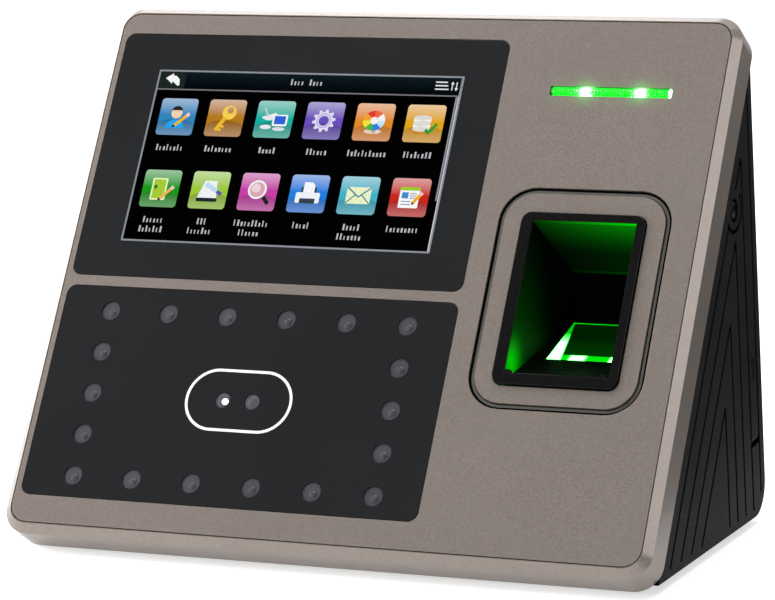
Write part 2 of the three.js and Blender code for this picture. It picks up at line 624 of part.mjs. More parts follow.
add(body, 'usb_cover', makeUsbCover(), blackPlastic);
add(body, 'usb_cover_pin', pinSolid(0, usb.half + 2), steel);
const usbSocket = [usb.low + 4.5, usb.low + 19];
const usbShape = (half, z0, z1) => {
  const corner = (z, side) => [usbMid(z)[0] + side * half, z];
  return [corner(z0, -1), corner(z0, 1), corner(z1, 1), corner(z1, -1)];
};
const usbShell = run(usbShape(2.8, ...usbSocket), 76, 92.6);
const usbMouth = run(usbShape(2.3, usbSocket[0] + 0.9, usbSocket[1] - 0.9), 80, 95);
const usbTongue = run(usbShape(0.9, usbSocket[0] + 1.6, usbSocket[1] - 1.6), 79, 91.6);
add(body, 'usb_socket', join(cut(usbShell, usbMouth), usbTongue), steel);

const plungerProfile = [
  [tamper.tail, -9.6],
  [tamper.tail, -6.4],
  [tamper.collar, -6.4],
  [tamper.collar, -5],
  [tamper.stem, -5],
  [tamper.stem, tamper.proud - 0.4],
  [tamper.stem - 0.4, tamper.proud],
];
add(rear, 'tamper_plunger', turned(plungerProfile, tamper.x, tamper.r, 16), whitePlastic);
const tamperBody = block(tamper.x - 6, tamper.x + 6, tamper.r - 4, tamper.r + 4, -18, -12.2);
const tamperFoot = block(tamper.x - 9, tamper.x + 9, tamper.r - 7, tamper.r + 7, -19.6, -17.8);
add(rear, 'tamper_switch', join(tamperBody, tamperFoot), blackPlastic);

function makeWallPlate() {
  const back = gap - recess.deep;
  const shape = roundedRect(-plate.half, plate.half, plate.low, plate.high, 3);
  const tamperSlot = roundedRect(tamper.x - 2.8, tamper.x + 2.8, tamper.r - 3,
    tamper.r + 3 + plate.slide, 2.2);
  shape.holes.push(tamperSlot, roundedRect(-20, -3, 68, 84, 2));
  const studs = [-plate.studX, plate.studX].flatMap((x) => [plate.studLow, plate.studHigh].map((r) => {
    return turned([[3.4, -6.8], [3.4, -5.1], [1.7, -5.1], [1.7, back + 0.5]], x, r, 12);
  }));
  const holes = [-30, 30].flatMap((x) => [54, 100].map((r) => peg(2.2, -4, 2, x, r, 12)));
  return cut(join(slab(shape, back, back + plate.thick, 3), ...studs), ...holes);
}
add(rear, 'wall_plate', makeWallPlate(), steel);

export default terminal;
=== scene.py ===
import json
import math
import random

import bmesh
import bpy
from mathutils import Matrix, Vector


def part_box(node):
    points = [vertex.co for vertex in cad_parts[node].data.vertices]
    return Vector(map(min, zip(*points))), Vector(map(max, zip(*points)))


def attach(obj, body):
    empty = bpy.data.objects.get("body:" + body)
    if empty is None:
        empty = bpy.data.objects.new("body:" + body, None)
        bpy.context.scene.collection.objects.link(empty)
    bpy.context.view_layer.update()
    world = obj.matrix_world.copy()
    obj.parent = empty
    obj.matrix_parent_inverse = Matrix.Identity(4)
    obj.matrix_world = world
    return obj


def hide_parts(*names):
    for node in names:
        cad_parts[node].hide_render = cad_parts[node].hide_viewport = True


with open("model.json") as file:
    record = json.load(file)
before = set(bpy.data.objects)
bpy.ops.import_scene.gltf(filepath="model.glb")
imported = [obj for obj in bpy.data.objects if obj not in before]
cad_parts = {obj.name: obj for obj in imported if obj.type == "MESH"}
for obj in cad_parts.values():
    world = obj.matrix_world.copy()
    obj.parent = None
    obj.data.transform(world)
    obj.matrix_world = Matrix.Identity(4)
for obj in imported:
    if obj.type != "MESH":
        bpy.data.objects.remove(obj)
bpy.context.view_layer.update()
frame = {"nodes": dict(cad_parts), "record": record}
nodes = frame["nodes"]
record = frame["record"]
bodyOf = {node: body for body, members in record["behaviour"]["bodies"].items() for node in members}
print("frame loaded:", len(nodes), "nodes")

# the frames that the pieces are drawn in, all in millimetres
mm = 0.001
shape = {"tilt": 32, "rearLean": 5.4, "panelThick": 2.0, "baseFillet": 9.0}
tilt = math.radians(shape["tilt"])


def placeFrame(origin, right, up, out):
    columns = Matrix((right, up, out)).transposed().to_4x4()
    return Matrix.Translation(origin) @ columns @ Matrix.Scale(mm, 4)


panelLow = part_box("front_panel")[0]
housingLow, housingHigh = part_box("rear_housing")
crease = Vector((0, panelLow.y, panelLow.z + shape["panelThick"] * mm * math.sin(tilt)))
faceUp = Vector((0, math.sin(tilt), math.cos(tilt)))
faceOut = Vector((0, -math.cos(tilt), math.sin(tilt)))
faceFrame = placeFrame(crease, Vector((1, 0, 0)), faceUp, faceOut)
sideFrame = placeFrame(crease, Vector((0, 1, 0)), Vector((0, 0, 1)), Vector((1, 0, 0)))

# camera, floor and soft studio light
view = {
    "place": (0.411985, -0.951020, 0.243470),
    "right": (0.91947453, 0.39246436, -0.02320176),
    "down": (0.04442407, -0.16235238, -0.98573232),
    "forward": (-0.39063167, 0.90532504, -0.16671374),
    "lens": 172.79,
}


def makeCamera():
    camera = bpy.data.cameras.new("studioCamera")
    camera.lens = view["lens"]
    camera.sensor_width = 36
    camera.clip_start = 0.05
    camera.clip_end = 50
    holder = bpy.data.objects.new("studioCamera", camera)
    turn = Matrix((view["right"], -Vector(view["down"]), -Vector(view["forward"]))).transposed()
    holder.matrix_world = Matrix.Translation(view["place"]) @ turn.to_4x4()
    bpy.context.scene.collection.objects.link(holder)
    bpy.context.scene.camera = holder


makeCamera()
print("camera made")


# colours, nodes and materials
def colour(code):
    # sRGB hex to linear
    values = [int(code[i:i + 2], 16) / 255 for i in (1, 3, 5)]
    linear = [v / 12.92 if v <= 0.04045 else ((v + 0.055) / 1.055) ** 2.4 for v in values]
    return (*linear, 1)


def addNode(tree, kind, *inputs, out=0, **settings):
    # inputs go in order or in a dictionary by name; it gives output number out, or with None the node
    made = tree.nodes.new(kind if "Node" in kind else "ShaderNode" + kind)
    given = inputs[0] if inputs and isinstance(inputs[0], dict) else dict(enumerate(inputs))
    for name, value in settings.items():
        setattr(made, name, value)
    for name, value in given.items():
        if isinstance(value, bpy.types.NodeSocket):
            tree.links.new(value, made.inputs[name])
        else:
            made.inputs[name].default_value = value
    return made if out is None else made.outputs[out]


def startMaterial(name, roughness, **sockets):
    material = bpy.data.materials.new(name)
    material.use_nodes = True
    tree = material.node_tree
    tree.nodes.clear()
    shader = addNode(tree, "BsdfPrincipled", {"Roughness": roughness, **sockets}, out=None)
    addNode(tree, "OutputMaterial", {"Surface": shader.outputs[0]}, out=None)
    place = addNode(tree, "TexCoord", out="Object")
    return material, tree, shader, place


def mouldedPlastic(name, dark, pale, roughness, grain, depth, **sockets):
    # a moulded plastic: slight cloudiness, and a spark-eroded grain that breaks the gloss up
    material, tree, shader, place = startMaterial(name, roughness, **sockets)
    cloud = addNode(tree, "TexNoise", {"Vector": place, "Scale": 1 / (14 * mm), "Detail": 4})
    fine = addNode(tree, "TexNoise", {"Vector": place, "Scale": 1 / (grain * mm), "Detail": 1})
    tree.links.new(
        addNode(
            tree, "Mix",
            {0: addNode(tree, "MapRange", cloud, 0.3, 0.7, 0, 1), 6: colour(dark), 7: colour(pale)}, out=2,
            data_type="RGBA"),
        shader.inputs["Base Color"])
    tree.links.new(
        addNode(tree, "MapRange", fine, 0.3, 0.7, roughness - 0.06, roughness + 0.08),
        shader.inputs["Roughness"])
    tree.links.new(
        addNode(tree, "Bump", {"Height": fine, "Distance": depth * mm, "Strength": 1}),
        shader.inputs["Normal"])
    return material


def grooveShade(material):
    # the cut grooves of the side walls get painted shade: black from just below the wall's outer face
    tree = material.node_tree
    shader = next(node for node in tree.nodes if node.type == "BSDF_PRINCIPLED")
    surface = shader.inputs["Base Color"].links[0].from_socket
    place = addNode(tree, "TexCoord", out="Object")
    across = addNode(tree, "SeparateXYZ", place)
    away = addNode(tree, "Math", across, operation="ABSOLUTE")
    inGroove = addNode(
        tree, "Math", addNode(tree, "MapRange", away, 94.9 * mm, 95.0 * mm, 0, 1),
        addNode(tree, "MapRange", away, 95.8 * mm, 95.6 * mm, 0, 1), operation="MULTIPLY")
    tree.links.new(
        addNode(tree, "Mix", {0: inGroove, 6: surface, 7: colour("#000000")}, out=2, data_type="RGBA"),
        shader.inputs["Base Color"])


def taupePaint():
    # champagne metallic paint over moulded ABS: aluminium flake gives a dry sparkle under a thin clear coat;
    # real flake is 0.03 mm across, drawn about 0.3 mm so that it shows
    material, tree, shader, place = startMaterial("metallicTaupePaint", 0.4, Metallic=0.62)
    flake = addNode(tree, "TexVoronoi", {"Vector": place, "Scale": 1 / (0.32 * mm)}, out=None)
    glint = addNode(tree, "SeparateColor", flake.outputs["Color"])
    ground = addNode(
        tree, "Mix",
        {
            0: addNode(
                tree, "MapRange",
                addNode(tree, "TexNoise", {"Vector": place, "Scale": 1 / (30 * mm), "Detail": 3}), 0.3, 0.7,
                0, 1),
            6: colour("#7b716a"), 7: colour("#7f756e")},
        out=2, data_type="RGBA")
    speckled = addNode(
        tree, "Mix", {0: glint, 6: colour("#5f5650"), 7: colour("#998e85")}, out=2, data_type="RGBA")
    tree.links.new(
        addNode(tree, "Mix", {0: 0.26, 6: ground, 7: speckled}, out=2, data_type="RGBA"),
        shader.inputs["Base Color"])
    tree.links.new(addNode(tree, "MapRange", glint, 0.3, 0.7, 0.36, 0.47), shader.inputs["Roughness"])
    tree.links.new(
        addNode(tree, "Bump", {"Height": glint, "Distance": 0.012 * mm, "Strength": 0.35}),
        shader.inputs["Normal"])
    shader.inputs["Coat Weight"].default_value = 0.25
    shader.inputs["Coat Roughness"].default_value = 0.18
    return material, tree, shader, place


def faceMeasure(tree, place):
    # across the face, up it and out of it, in millimetres
    away = addNode(tree, "VectorMath", place, crease, operation="SUBTRACT")
    found = []
    for way in (Vector((1, 0, 0)), faceUp, faceOut):
        along = addNode(tree, "VectorMath", away, way / mm, out=None, operation="DOT_PRODUCT")
        found.append(along.outputs["Value"])
    return found


def hill(tree, value, centre, reach):
    # 1 at the centre, falling away smoothly on both sides
    offset = addNode(tree, "Math", value, centre, operation="SUBTRACT")
    square = addNode(tree, "Math", offset, 2.0, operation="POWER")
    ratio = addNode(tree, "Math", square, -1 / reach ** 2, operation="MULTIPLY")
    return addNode(tree, "Math", ratio, operation="EXPONENT")


def litPaint():
    # the same paint where the status light's green spreads over it, most beside the two emitters
    material, tree, shader, place = taupePaint()
    material.name = "metallicTaupePaintByLight"
    across, up, out = faceMeasure(tree, place)
    near = hill(tree, up, (light["low"] + light["high"]) / 2, light["glowReach"])
    level = addNode(
        tree, "Math",
        addNode(
            tree, "Math", addNode(tree, "MapRange", across, light["left"] - 1, light["left"] + 1, 0, 1),
            near, operation="MULTIPLY"),
        0.07, operation="MULTIPLY")
    level = addNode(
        tree, "Math", level,
        addNode(tree, "MapRange", across, light["right"] + 1, light["right"] - 1, 0, 1),
        operation="MULTIPLY")
    for spot in light["emitters"]:
        glow = addNode(
            tree, "Math",
            addNode(tree, "Math", hill(tree, across, spot, light["glowReach"]), near, operation="MULTIPLY"),
            light["glow"], operation="MULTIPLY")
        level = addNode(tree, "Math", level, glow, operation="ADD")
    shader.inputs["Emission Color"].default_value = colour("#10ff38")
    tree.links.new(level, shader.inputs["Emission Strength"])
    return material


def platedSteel(name, tone, roughness, streak):
    # zinc-plated sheet: fine drawn lines along one way, and faint cloudy spangle
    material, tree, shader, place = startMaterial(name, roughness, Metallic=1.0)
    stretched = addNode(tree, "Mapping", {"Vector": place, "Scale": (0.04, 1, 1)})
    lines = addNode(tree, "TexNoise", {"Vector": stretched, "Scale": 1 / (streak * mm), "Detail": 2})
    spangle = addNode(tree, "TexVoronoi", {"Vector": place, "Scale": 1 / (5 * mm)}, out=None)
    grey = addNode(tree, "SeparateColor", spangle.outputs["Color"])
    tone = addNode(tree, "Mix", {0: grey, 6: colour(tone), 7: colour("#b4b6b8")}, out=2, data_type="RGBA")
    tree.links.new(
        addNode(
            tree, "Mix",
            {0: addNode(tree, "MapRange", lines, 0.3, 0.7, 0, 0.3), 6: tone, 7: colour("#74777a")}, out=2,
            data_type="RGBA"),
        shader.inputs["Base Color"])
    tree.links.new(
        addNode(tree, "MapRange", lines, 0.3, 0.7, roughness - 0.05, roughness + 0.12),
        shader.inputs["Roughness"])
    tree.links.new(
        addNode(tree, "Bump", {"Height": lines, "Distance": 0.01 * mm, "Strength": 0.4}),
        shader.inputs["Normal"])
    return material


def tintedGlass():
    # soda-lime glass printed black behind: deep, even gloss with the faintest film of handling
    material, tree, shader, place = startMaterial(
        "backPrintedGlass", 0.12, **{"IOR": 1.52, "Specular IOR Level": 0.2})
    film = addNode(tree, "TexNoise", {"Vector": place, "Scale": 1 / (40 * mm), "Detail": 4})
    tree.links.new(
        addNode(
            tree, "Mix",
            {
                0: addNode(tree, "MapRange", film, 0.3, 0.7, 0, 1), 6: colour("#101112"),
                7: colour("#141517")},
            out=2, data_type="RGBA"),
        shader.inputs["Base Color"])
    tree.links.new(addNode(tree, "MapRange", film, 0.3, 0.7, 0.1, 0.17), shader.inputs["Roughness"])
    return material


def solderBoard():
    # glass-epoxy board under green solder mask: copper runs show as paler lines, bright where tinned
    material, tree, shader, place = startMaterial("solderMaskedBoard", 0.35)
    tracks = addNode(
        tree, "TexBrick",
        {
            "Vector": place, "Color1": colour("#1f5a35"), "Color2": colour("#24643c"),
            "Mortar": colour("#15402a"), "Scale": 1 / (8 * mm), "Mortar Size": 0.03, "Brick Width": 0.7,
            "Row Height": 0.14},
        out=None)
    pads = addNode(
        tree, "TexVoronoi", {"Vector": place, "Scale": 1 / (3.2 * mm), "Randomness": 0.25}, out=None)
    tinned = addNode(tree, "MapRange", pads.outputs["Distance"], 0.13, 0.17, 1, 0)
    tree.links.new(
        addNode(
            tree, "Mix", {0: tinned, 6: tracks.outputs[0], 7: colour("#b9bcb6")}, out=2, data_type="RGBA"),
        shader.inputs["Base Color"])
    tree.links.new(tinned, shader.inputs["Metallic"])
    tree.links.new(
        addNode(tree, "Bump", {"Height": tracks.outputs["Fac"], "Distance": 0.03 * mm, "Strength": 1}),
        shader.inputs["Normal"])
    return material


def filmRibbon():
    # amber polyimide film over copper conductors, which show as fine parallel lines
    material, tree, shader, place = startMaterial("polyimideRibbon", 0.3)
    lines = addNode(
        tree, "TexWave", {"Vector": place, "Scale": 0.5 / (1.0 * mm) / math.pi, "Distortion": 0.0},
        out=None)
    tree.links.new(
        addNode(
            tree, "Mix", {0: lines.outputs[0], 6: colour("#a4581a"), 7: colour("#d08a3c")}, out=2,
            data_type="RGBA"),
        shader.inputs["Base Color"])
    tree.links.new(
        addNode(tree, "Bump", {"Height": lines.outputs[0], "Distance": 0.03 * mm, "Strength": 1}),
        shader.inputs["Normal"])
    return material


def screenInk(name, strength):
    # what the lit display shows: each shape carries its own colour
    material, tree, shader, place = startMaterial(
        name, 0.15, **{"Base Color": colour("#000000"), "Specular IOR Level": 0.0})
    tint = addNode(tree, "Attribute", out="Color", attribute_name="tint")
    tree.links.new(tint, shader.inputs["Emission Color"])
    grain = addNode(tree, "TexNoise", {"Vector": place, "Scale": 1 / (0.6 * mm), "Detail": 0})
    tree.links.new(
        addNode(tree, "MapRange", grain, 0.3, 0.7, strength * 0.94, strength * 1.06),
        shader.inputs["Emission Strength"])
    return material


def litTile(strength):
    # a glossy picture tile: pale bloom at the top, a curved horizon across the middle, and a lift at the foot
    material, tree, shader, place = startMaterial("litPictureTile", 0.15, **{
        "Base Color": colour("#000000"), "Specular IOR Level": 0.0})
    tint = addNode(tree, "Attribute", out="Color", attribute_name="tint")
    across, up, rest = addNode(tree, "SeparateXYZ", addNode(tree, "UVMap"), out=None).outputs
    bow = addNode(tree, "Math", across, 2.0, operation="POWER")
    horizon = addNode(tree, "Math", bow, 0.2, up, operation="MULTIPLY_ADD")
    flat = addNode(tree, "Math", horizon, -0.13, operation="SUBTRACT")
    above = addNode(tree, "MapRange", flat, -0.04, 0.04, 0, 1)
    bloom = addNode(tree, "MapRange", up, 0.1, 1.0, 0.0, 0.33)
    foot = addNode(tree, "MapRange", up, -0.2, -1.0, 0.0, 0.55)
    deep = addNode(tree, "Mix", {0: 0.35, 6: tint, 7: (0, 0, 0, 1)}, out=2, data_type="RGBA")
    low = addNode(
        tree, "Mix",
        {
            0: foot, 6: deep,
            7: addNode(tree, "Mix", {0: 0.25, 6: tint, 7: (1, 1, 1, 1)}, out=2, data_type="RGBA")},
        out=2, data_type="RGBA")
    high = addNode(tree, "Mix", {0: bloom, 6: tint, 7: (1, 1, 1, 1)}, out=2, data_type="RGBA")
    tree.links.new(
        addNode(tree, "Mix", {0: above, 6: low, 7: high}, out=2, data_type="RGBA"),
        shader.inputs["Emission Color"])
    shader.inputs["Emission Strength"].default_value = strength
    return material


def lightGuide():
    # clear ribbed acrylic over two bright green emitters: white at each emitter, deep green between,
    # with a row of glints along the prisms, a dark left end and a bright right end
    material, tree, shader, place = startMaterial(
        "litAcrylicGuide", 0.12, **{"Base Color": colour("#0c5a1c"), "IOR": 1.49})
    across, up, out = faceMeasure(tree, place)
    low = light["low"]
    heat, spill = 0.0, 0.0
    for spot in light["emitters"]:
        heat = addNode(tree, "Math", heat, hill(tree, across, spot, light["emitterReach"]), operation="ADD")
        spill = addNode(
            tree, "Math", spill, hill(tree, across, spot, light["emitterReach"] * 2.4), operation="ADD")
    dots = addNode(
        tree, "TexVoronoi", {"Vector": place, "Scale": 1 / (0.85 * mm), "Randomness": 0.35}, out=None)
    dot = addNode(tree, "MapRange", dots.outputs["Distance"], 0.3, 0.12, 0, 1)
    glint = addNode(
        tree, "Math", dot,
        addNode(
            tree, "Math", spill,
            addNode(tree, "Math", hill(tree, up, low + 1.3, 0.5), 0.5, operation="MULTIPLY"),
            operation="ADD"),
        operation="MULTIPLY")
    rightEnd = addNode(tree, "MapRange", across, light["right"] - 1.0, light["right"] - 0.8, 0, 1)
    leftEnd = addNode(tree, "MapRange", across, light["left"] + 0.5, light["left"] + 1.0, 0, 1)
    whiteness = addNode(
        tree, "Math", addNode(tree, "Math", heat, glint, operation="ADD"), rightEnd, operation="ADD")
    seam = addNode(
        tree, "Math", 1.0,
        addNode(tree, "Math", hill(tree, up, low + 1.9, 0.2), -0.4, operation="MULTIPLY"), operation="ADD")
    body = addNode(tree, "Math", seam, light["strength"], operation="MULTIPLY")
    power = addNode(
        tree, "Math",
        addNode(
            tree, "Math", body, addNode(tree, "Math", whiteness, light["heat"], operation="MULTIPLY"),
            operation="ADD"),
        leftEnd, operation="MULTIPLY")
    amount = addNode(tree, "Clamp", whiteness)
    tree.links.new(
        addNode(
            tree, "Mix", {0: amount, 6: colour("#00ff14"), 7: colour("#a0ffa8")}, out=2, data_type="RGBA"),
        shader.inputs["Emission Color"])
    tree.links.new(power, shader.inputs["Emission Strength"])
    return material


def printedInk():
    # white screen ink on the glass: matt and slightly uneven, with a faint painted glow that keeps it bright
    material, tree, shader, place = startMaterial("whiteScreenInk", 0.5)
    patch = addNode(tree, "TexNoise", {"Vector": place, "Scale": 1 / (1.2 * mm), "Detail": 2})
    tree.links.new(
        addNode(
            tree, "Mix",
            {
                0: addNode(tree, "MapRange", patch, 0.3, 0.7, 0, 1), 6: colour("#bdbabd"),
                7: colour("#c6c3c6")},
            out=2, data_type="RGBA"),
        shader.inputs["Base Color"])
    # painted glow: the ink gives off a faint white light of its own
    shader.inputs["Emission Color"].default_value = colour("#ffffff")
    shader.inputs["Emission Strength"].default_value = 0.25
    return material


def floorPaper():
    # seamless background paper, lit from below so that it stays white round the piece
    material, tree, shader, place = startMaterial("backgroundPaper", 0.9)
    shader.inputs["Emission Color"].default_value = (1, 1, 1, 1)
    shader.inputs["Emission Strength"].default_value = 0.62
    tree.links.new(
        addNode(
            tree, "Mix",
            {
                0: addNode(tree, "TexNoise", {"Vector": place, "Scale": 1 / (60 * mm), "Detail": 3}),
                6: colour("#cbcbcb"), 7: colour("#cfcfcf")},
            out=2, data_type="RGBA"),
        shader.inputs["Base Color"])
    return material


# sizes shared by the materials and the pieces, in millimetres on the face: across, then up
light = {
    "left": 43.8, "right": 79.8, "low": 136.1, "high": 139.1, "ribs": 34, "emitters": (54.4, 70.6),
    "emitterReach": 1.75, "strength": 0.95, "heat": 6.0, "glow": 0.34, "glowReach": 2.9, "proud": 0.2,
}

paint = taupePaint()[0]
paintByLight = litPaint()
glassBlack = tintedGlass()
steel = platedSteel("zincPlatedSteel", "#a9abad", 0.34, 0.5)
boardGreen = solderBoard()
ribbonAmber = filmRibbon()
# spark-eroded ABS-PC for the housing: dry, even charcoal
housingPlastic = mouldedPlastic(
    "sparkErodedAbs", "#191919", "#1e1e1e", 0.5, 0.45, 0.03, **{"Specular IOR Level": 0.02})
# painted shade: the grooves of the side walls are coloured black
grooveShade(housingPlastic)
# fine satin ABS for the well and small mouldings: black with a soft highlight on its rounds
satinPlastic = mouldedPlastic(
    "satinBlackAbs", "#050505", "#060606", 0.3, 1.5, 0.0008, **{"Specular IOR Level": 0.11})
greyRubber = mouldedPlastic("greySiliconeRubber", "#4a4844", "#54524d", 0.7, 0.5, 0.02)
# black strip over the gasket groove: painted shade
grooveShadowBlack = mouldedPlastic(
    "blackGrooveShadowStrip", "#040404", "#070707", 0.8, 0.7, 0.02, **{"Specular IOR Level": 0.02})
footRubber = mouldedPlastic("blackNitrileRubber", "#151514", "#1c1b1a", 0.78, 0.7, 0.04)
whiteNylon = mouldedPlastic("naturalNylon", "#cfcdc4", "#dcdad2", 0.45, 0.8, 0.01)
greenPolyester = mouldedPlastic("greenPolyester", "#23703a", "#2c8045", 0.42, 0.8, 0.01)
blueFilm = mouldedPlastic("blueHeatShrink", "#1f4068", "#2a5080", 0.32, 6, 0.05)
# smoke-grey polycarbonate lens over each emitter: a soft grey disc with one clear glint
smokedLens = mouldedPlastic(
    "smokedPolycarbonate", "#38373b", "#3e3d41", 0.2, 1.5, 0.002, **{"Specular IOR Level": 0.3})
whiteInk = printedInk()
tilePicture = litTile(1.0)
inkPicture = screenInk("litPicture", 1.0)
guideLit = lightGuide()
print("materials made:", len(bpy.data.materials))


def makeStudio():
    # plain white surround, brighter on the left and overhead than on the right
    world = bpy.data.worlds.new("studio")
    bpy.context.scene.world = world
    world.use_nodes = True
    tree = world.node_tree
    tree.nodes.clear()
    toward = addNode(tree, "TexCoord", out="Generated")
    across = addNode(tree, "SeparateXYZ", toward)
    sides = addNode(tree, "MapRange", across, -1, 1, studio["leftFill"], studio["rightFill"], out=None)
    sky = addNode(tree, "Background", {"Color": colour("#f7f8fa"), "Strength": sides.outputs[0]}, out=None)
    addNode(tree, "OutputWorld", sky.outputs[0], out=None)
    bpy.context.scene.view_settings.view_transform = "Standard"
    for name, (place, aim, size, power) in studio["boxes"].items():
        lamp = bpy.data.lights.new(name, "AREA")
        lamp.shape = "RECTANGLE"
        lamp.size, lamp.size_y = size
        lamp.energy = power
        holder = bpy.data.objects.new(name, lamp)
        facing = (Vector(aim) - Vector(place)).to_track_quat("-Z", "Y")
        holder.matrix_world = Matrix.Translation(place) @ facing.to_matrix().to_4x4()
        holder.visible_camera = False
        holder.visible_diffuse = name not in studio["mirroredOnly"]
        holder.visible_glossy = name != "leftBox"
        bpy.context.scene.collection.objects.link(holder)
    bpy.ops.mesh.primitive_plane_add(size=studio["floor"], location=(0, 0, 0))
    floor = bpy.context.object
    floor.name = "paperFloor"
    floor.data.materials.append(floorPaper())
    # a black card low on the right, seen only in reflections, keeps the side wall from mirroring the paper
    bpy.ops.mesh.primitive_plane_add(size=1, location=studio["card"][0])
    card = bpy.context.object
    card.name = "blackCard"
    card.data.transform(Matrix.Diagonal((*studio["card"][1], 1, 1)))
    card.data.materials.append(mouldedPlastic("matteBlackCard", "#050505", "#080808", 0.9, 5, 0.01))
    card.visible_camera = card.visible_diffuse = card.visible_shadow = card.visible_transmission = False


studio = {
    "leftFill": 0.88,
    "rightFill": 0.42,
    "floor": 14.0,
    "mirroredOnly": ("chamferBox", "leftEdgeBox", "topEdgeBox"),
    "card": ((0.92, 0.85, 0.004), (1.6, 1.9)),
    "boxes": {
        "leftBox": ((-0.66, -0.2, 0.34), (-0.05, 0, 0.07), (0.4, 0.5), 9.6),
        "topBox": ((0.0, 0.35, 1.7), (0, 0.1, 0.0), (1.4, 1.2), 26),
        # mirrored only, along the right-hand chamfer
        "chamferBox": ((1.04, -0.12, 0.61), (0.09, 0.04, 0.07), (0.5, 0.5), 3.5),
        # mirrored only, along the left-hand and the top chamfers
        "leftEdgeBox": ((-1.1, 0.75, 0.3), (0, 0.05, 0.07), (0.8, 0.6), 5.0),
        "topEdgeBox": ((-0.51, 1.01, 0.78), (0, 0.05, 0.07), (0.5, 0.5), 2.6),
    },
}
makeStudio()
print("studio made")


# mesh helpers
def pieceFrom(bm, name, place, material, body, replaces=(), smoothAngle=50):
    bmesh.ops.transform(bm, matrix=place, verts=bm.verts)
    bmesh.ops.recalc_face_normals(bm, faces=bm.faces)
    mesh = bpy.data.meshes.new(name)
    bm.to_mesh(mesh)
    bm.free()
    return pieceOf(mesh, name, material, body, replaces, smoothAngle)


def pieceOf(mesh, name, material, body, replaces=(), smoothAngle=50):
    if material:
        mesh.materials.clear()
        mesh.materials.append(material)
    for polygon in mesh.polygons:
        polygon.use_smooth = True
    mesh.set_sharp_from_angle(angle=math.radians(smoothAngle))
    holder = bpy.data.objects.new(name + "_raw", mesh)
    bpy.context.scene.collection.objects.link(holder)
    # large faces stay flat beside their rounded edges
    flats = holder.modifiers.new("flats", "WEIGHTED_NORMAL")
    flats.keep_sharp = True
    piece = bpy.data.objects.new(name, settled(holder))
    bpy.context.scene.collection.objects.link(piece)
    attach(piece, body)
    if replaces:
        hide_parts(*replaces)
    return piece


def roundedLoop(x0, x1, y0, y1, radius, steps=8):
    corners = [(x1 - radius, y0 + radius, -90), (x1 - radius, y1 - radius, 0),
               (x0 + radius, y1 - radius, 90), (x0 + radius, y0 + radius, 180)]
    loop = []
    for cx, cy, start in corners:
        for i in range(steps + 1):
            turn = math.radians(start + 90 * i / steps)
            loop.append((cx + radius * math.cos(turn), cy + radius * math.sin(turn)))
    return loop


def discLoop(cx, cy, radius, steps=28, squash=1.0, start=0, sweep=360):
    count = steps if sweep == 360 else steps + 1
    turns = [math.radians(start + sweep * i / steps) for i in range(count)]
    return [(cx + radius * math.cos(t), cy + radius * squash * math.sin(t)) for t in turns]


def barLoop(x0, y0, x1, y1, breadth):
    length = math.hypot(x1 - x0, y1 - y0)
    nx, ny = -(y1 - y0) / length * breadth / 2, (x1 - x0) / length * breadth / 2
    return [(x0 - nx, y0 - ny), (x1 - nx, y1 - ny), (x1 + nx, y1 + ny), (x0 + nx, y0 + ny)]


def addPrism(bm, loop, z0, z1, hole=None):
    # a closed slab over an outline, or a closed ring where a hole with as many points is given
    low = [bm.verts.new((x, y, z0)) for x, y in loop]
    high = [bm.verts.new((x, y, z1)) for x, y in loop]
    faces = []
    count = len(loop)
    for i in range(count):
        j = (i + 1) % count
        faces.append(bm.faces.new((low[i], low[j], high[j], high[i])))
    if hole is None:
        faces.append(bm.faces.new(high))
        faces.append(bm.faces.new(low[::-1]))
        return faces
    innerLow = [bm.verts.new((x, y, z0)) for x, y in hole]
    innerHigh = [bm.verts.new((x, y, z1)) for x, y in hole]
    for i in range(count):
        j = (i + 1) % count
        faces.append(bm.faces.new((innerLow[j], innerLow[i], innerHigh[i], innerHigh[j])))
        faces.append(bm.faces.new((high[i], high[j], innerHigh[j], innerHigh[i])))
        faces.append(bm.faces.new((low[j], low[i], innerLow[i], innerLow[j])))
    return faces


def addLathe(bm, profile, steps=40, at=(0, 0)):
    # pairs (radius, height) from the axis round the outside and back to the axis
    rings = []
    for radius, height in profile:
        if radius == 0:
            rings.append([bm.verts.new((at[0], at[1], height))])
            continue
        turns = [2 * math.pi * i / steps for i in range(steps)]
        spots = [(at[0] + radius * math.cos(t), at[1] + radius * math.sin(t), height) for t in turns]
        rings.append([bm.verts.new(spot) for spot in spots])
    for a, b in zip(rings, rings[1:]):
        for i in range(steps):
            j = (i + 1) % steps
            quad = [a[i % len(a)], a[j % len(a)], b[j % len(b)], b[i % len(b)]]
            corners = list(dict.fromkeys(quad))
            if len(corners) > 2:
                bm.faces.new(corners)


def bevelSharp(bm, width, segments, pick=None, sharp=40):
    edges = [e for e in bm.edges if e.is_manifold and e.calc_face_angle(0) > math.radians(sharp)]
    if pick:
        edges = [e for e in edges if pick(e)]
    bmesh.ops.bevel(bm, geom=edges, offset=width, offset_type="OFFSET", segments=segments, profile=0.5,
                    affect="EDGES", clamp_overlap=True)


def refined(name, width, segments=2, sharp=40):
    # a merged copy of a CAD node in metres, its flat faces made whole and its edges rounded
    bm = bmesh.new()
    bm.from_mesh(nodes[name].data)
    bmesh.ops.remove_doubles(bm, verts=bm.verts, dist=2e-6)
    bmesh.ops.dissolve_limit(bm, angle_limit=math.radians(0.7), verts=bm.verts, edges=bm.edges)
    mesh = bpy.data.meshes.new(name + "_copy")
    bm.to_mesh(mesh)
    bm.free()
    holder = bpy.data.objects.new(name + "_copy", mesh)
    bpy.context.scene.collection.objects.link(holder)
    if width:
        rounded = holder.modifiers.new("edges", "BEVEL")
        rounded.width = width * mm
        rounded.segments = segments
        rounded.limit_method = "ANGLE"
        rounded.angle_limit = math.radians(sharp)
        rounded.harden_normals = False
        rounded.use_clamp_overlap = True
    return holder


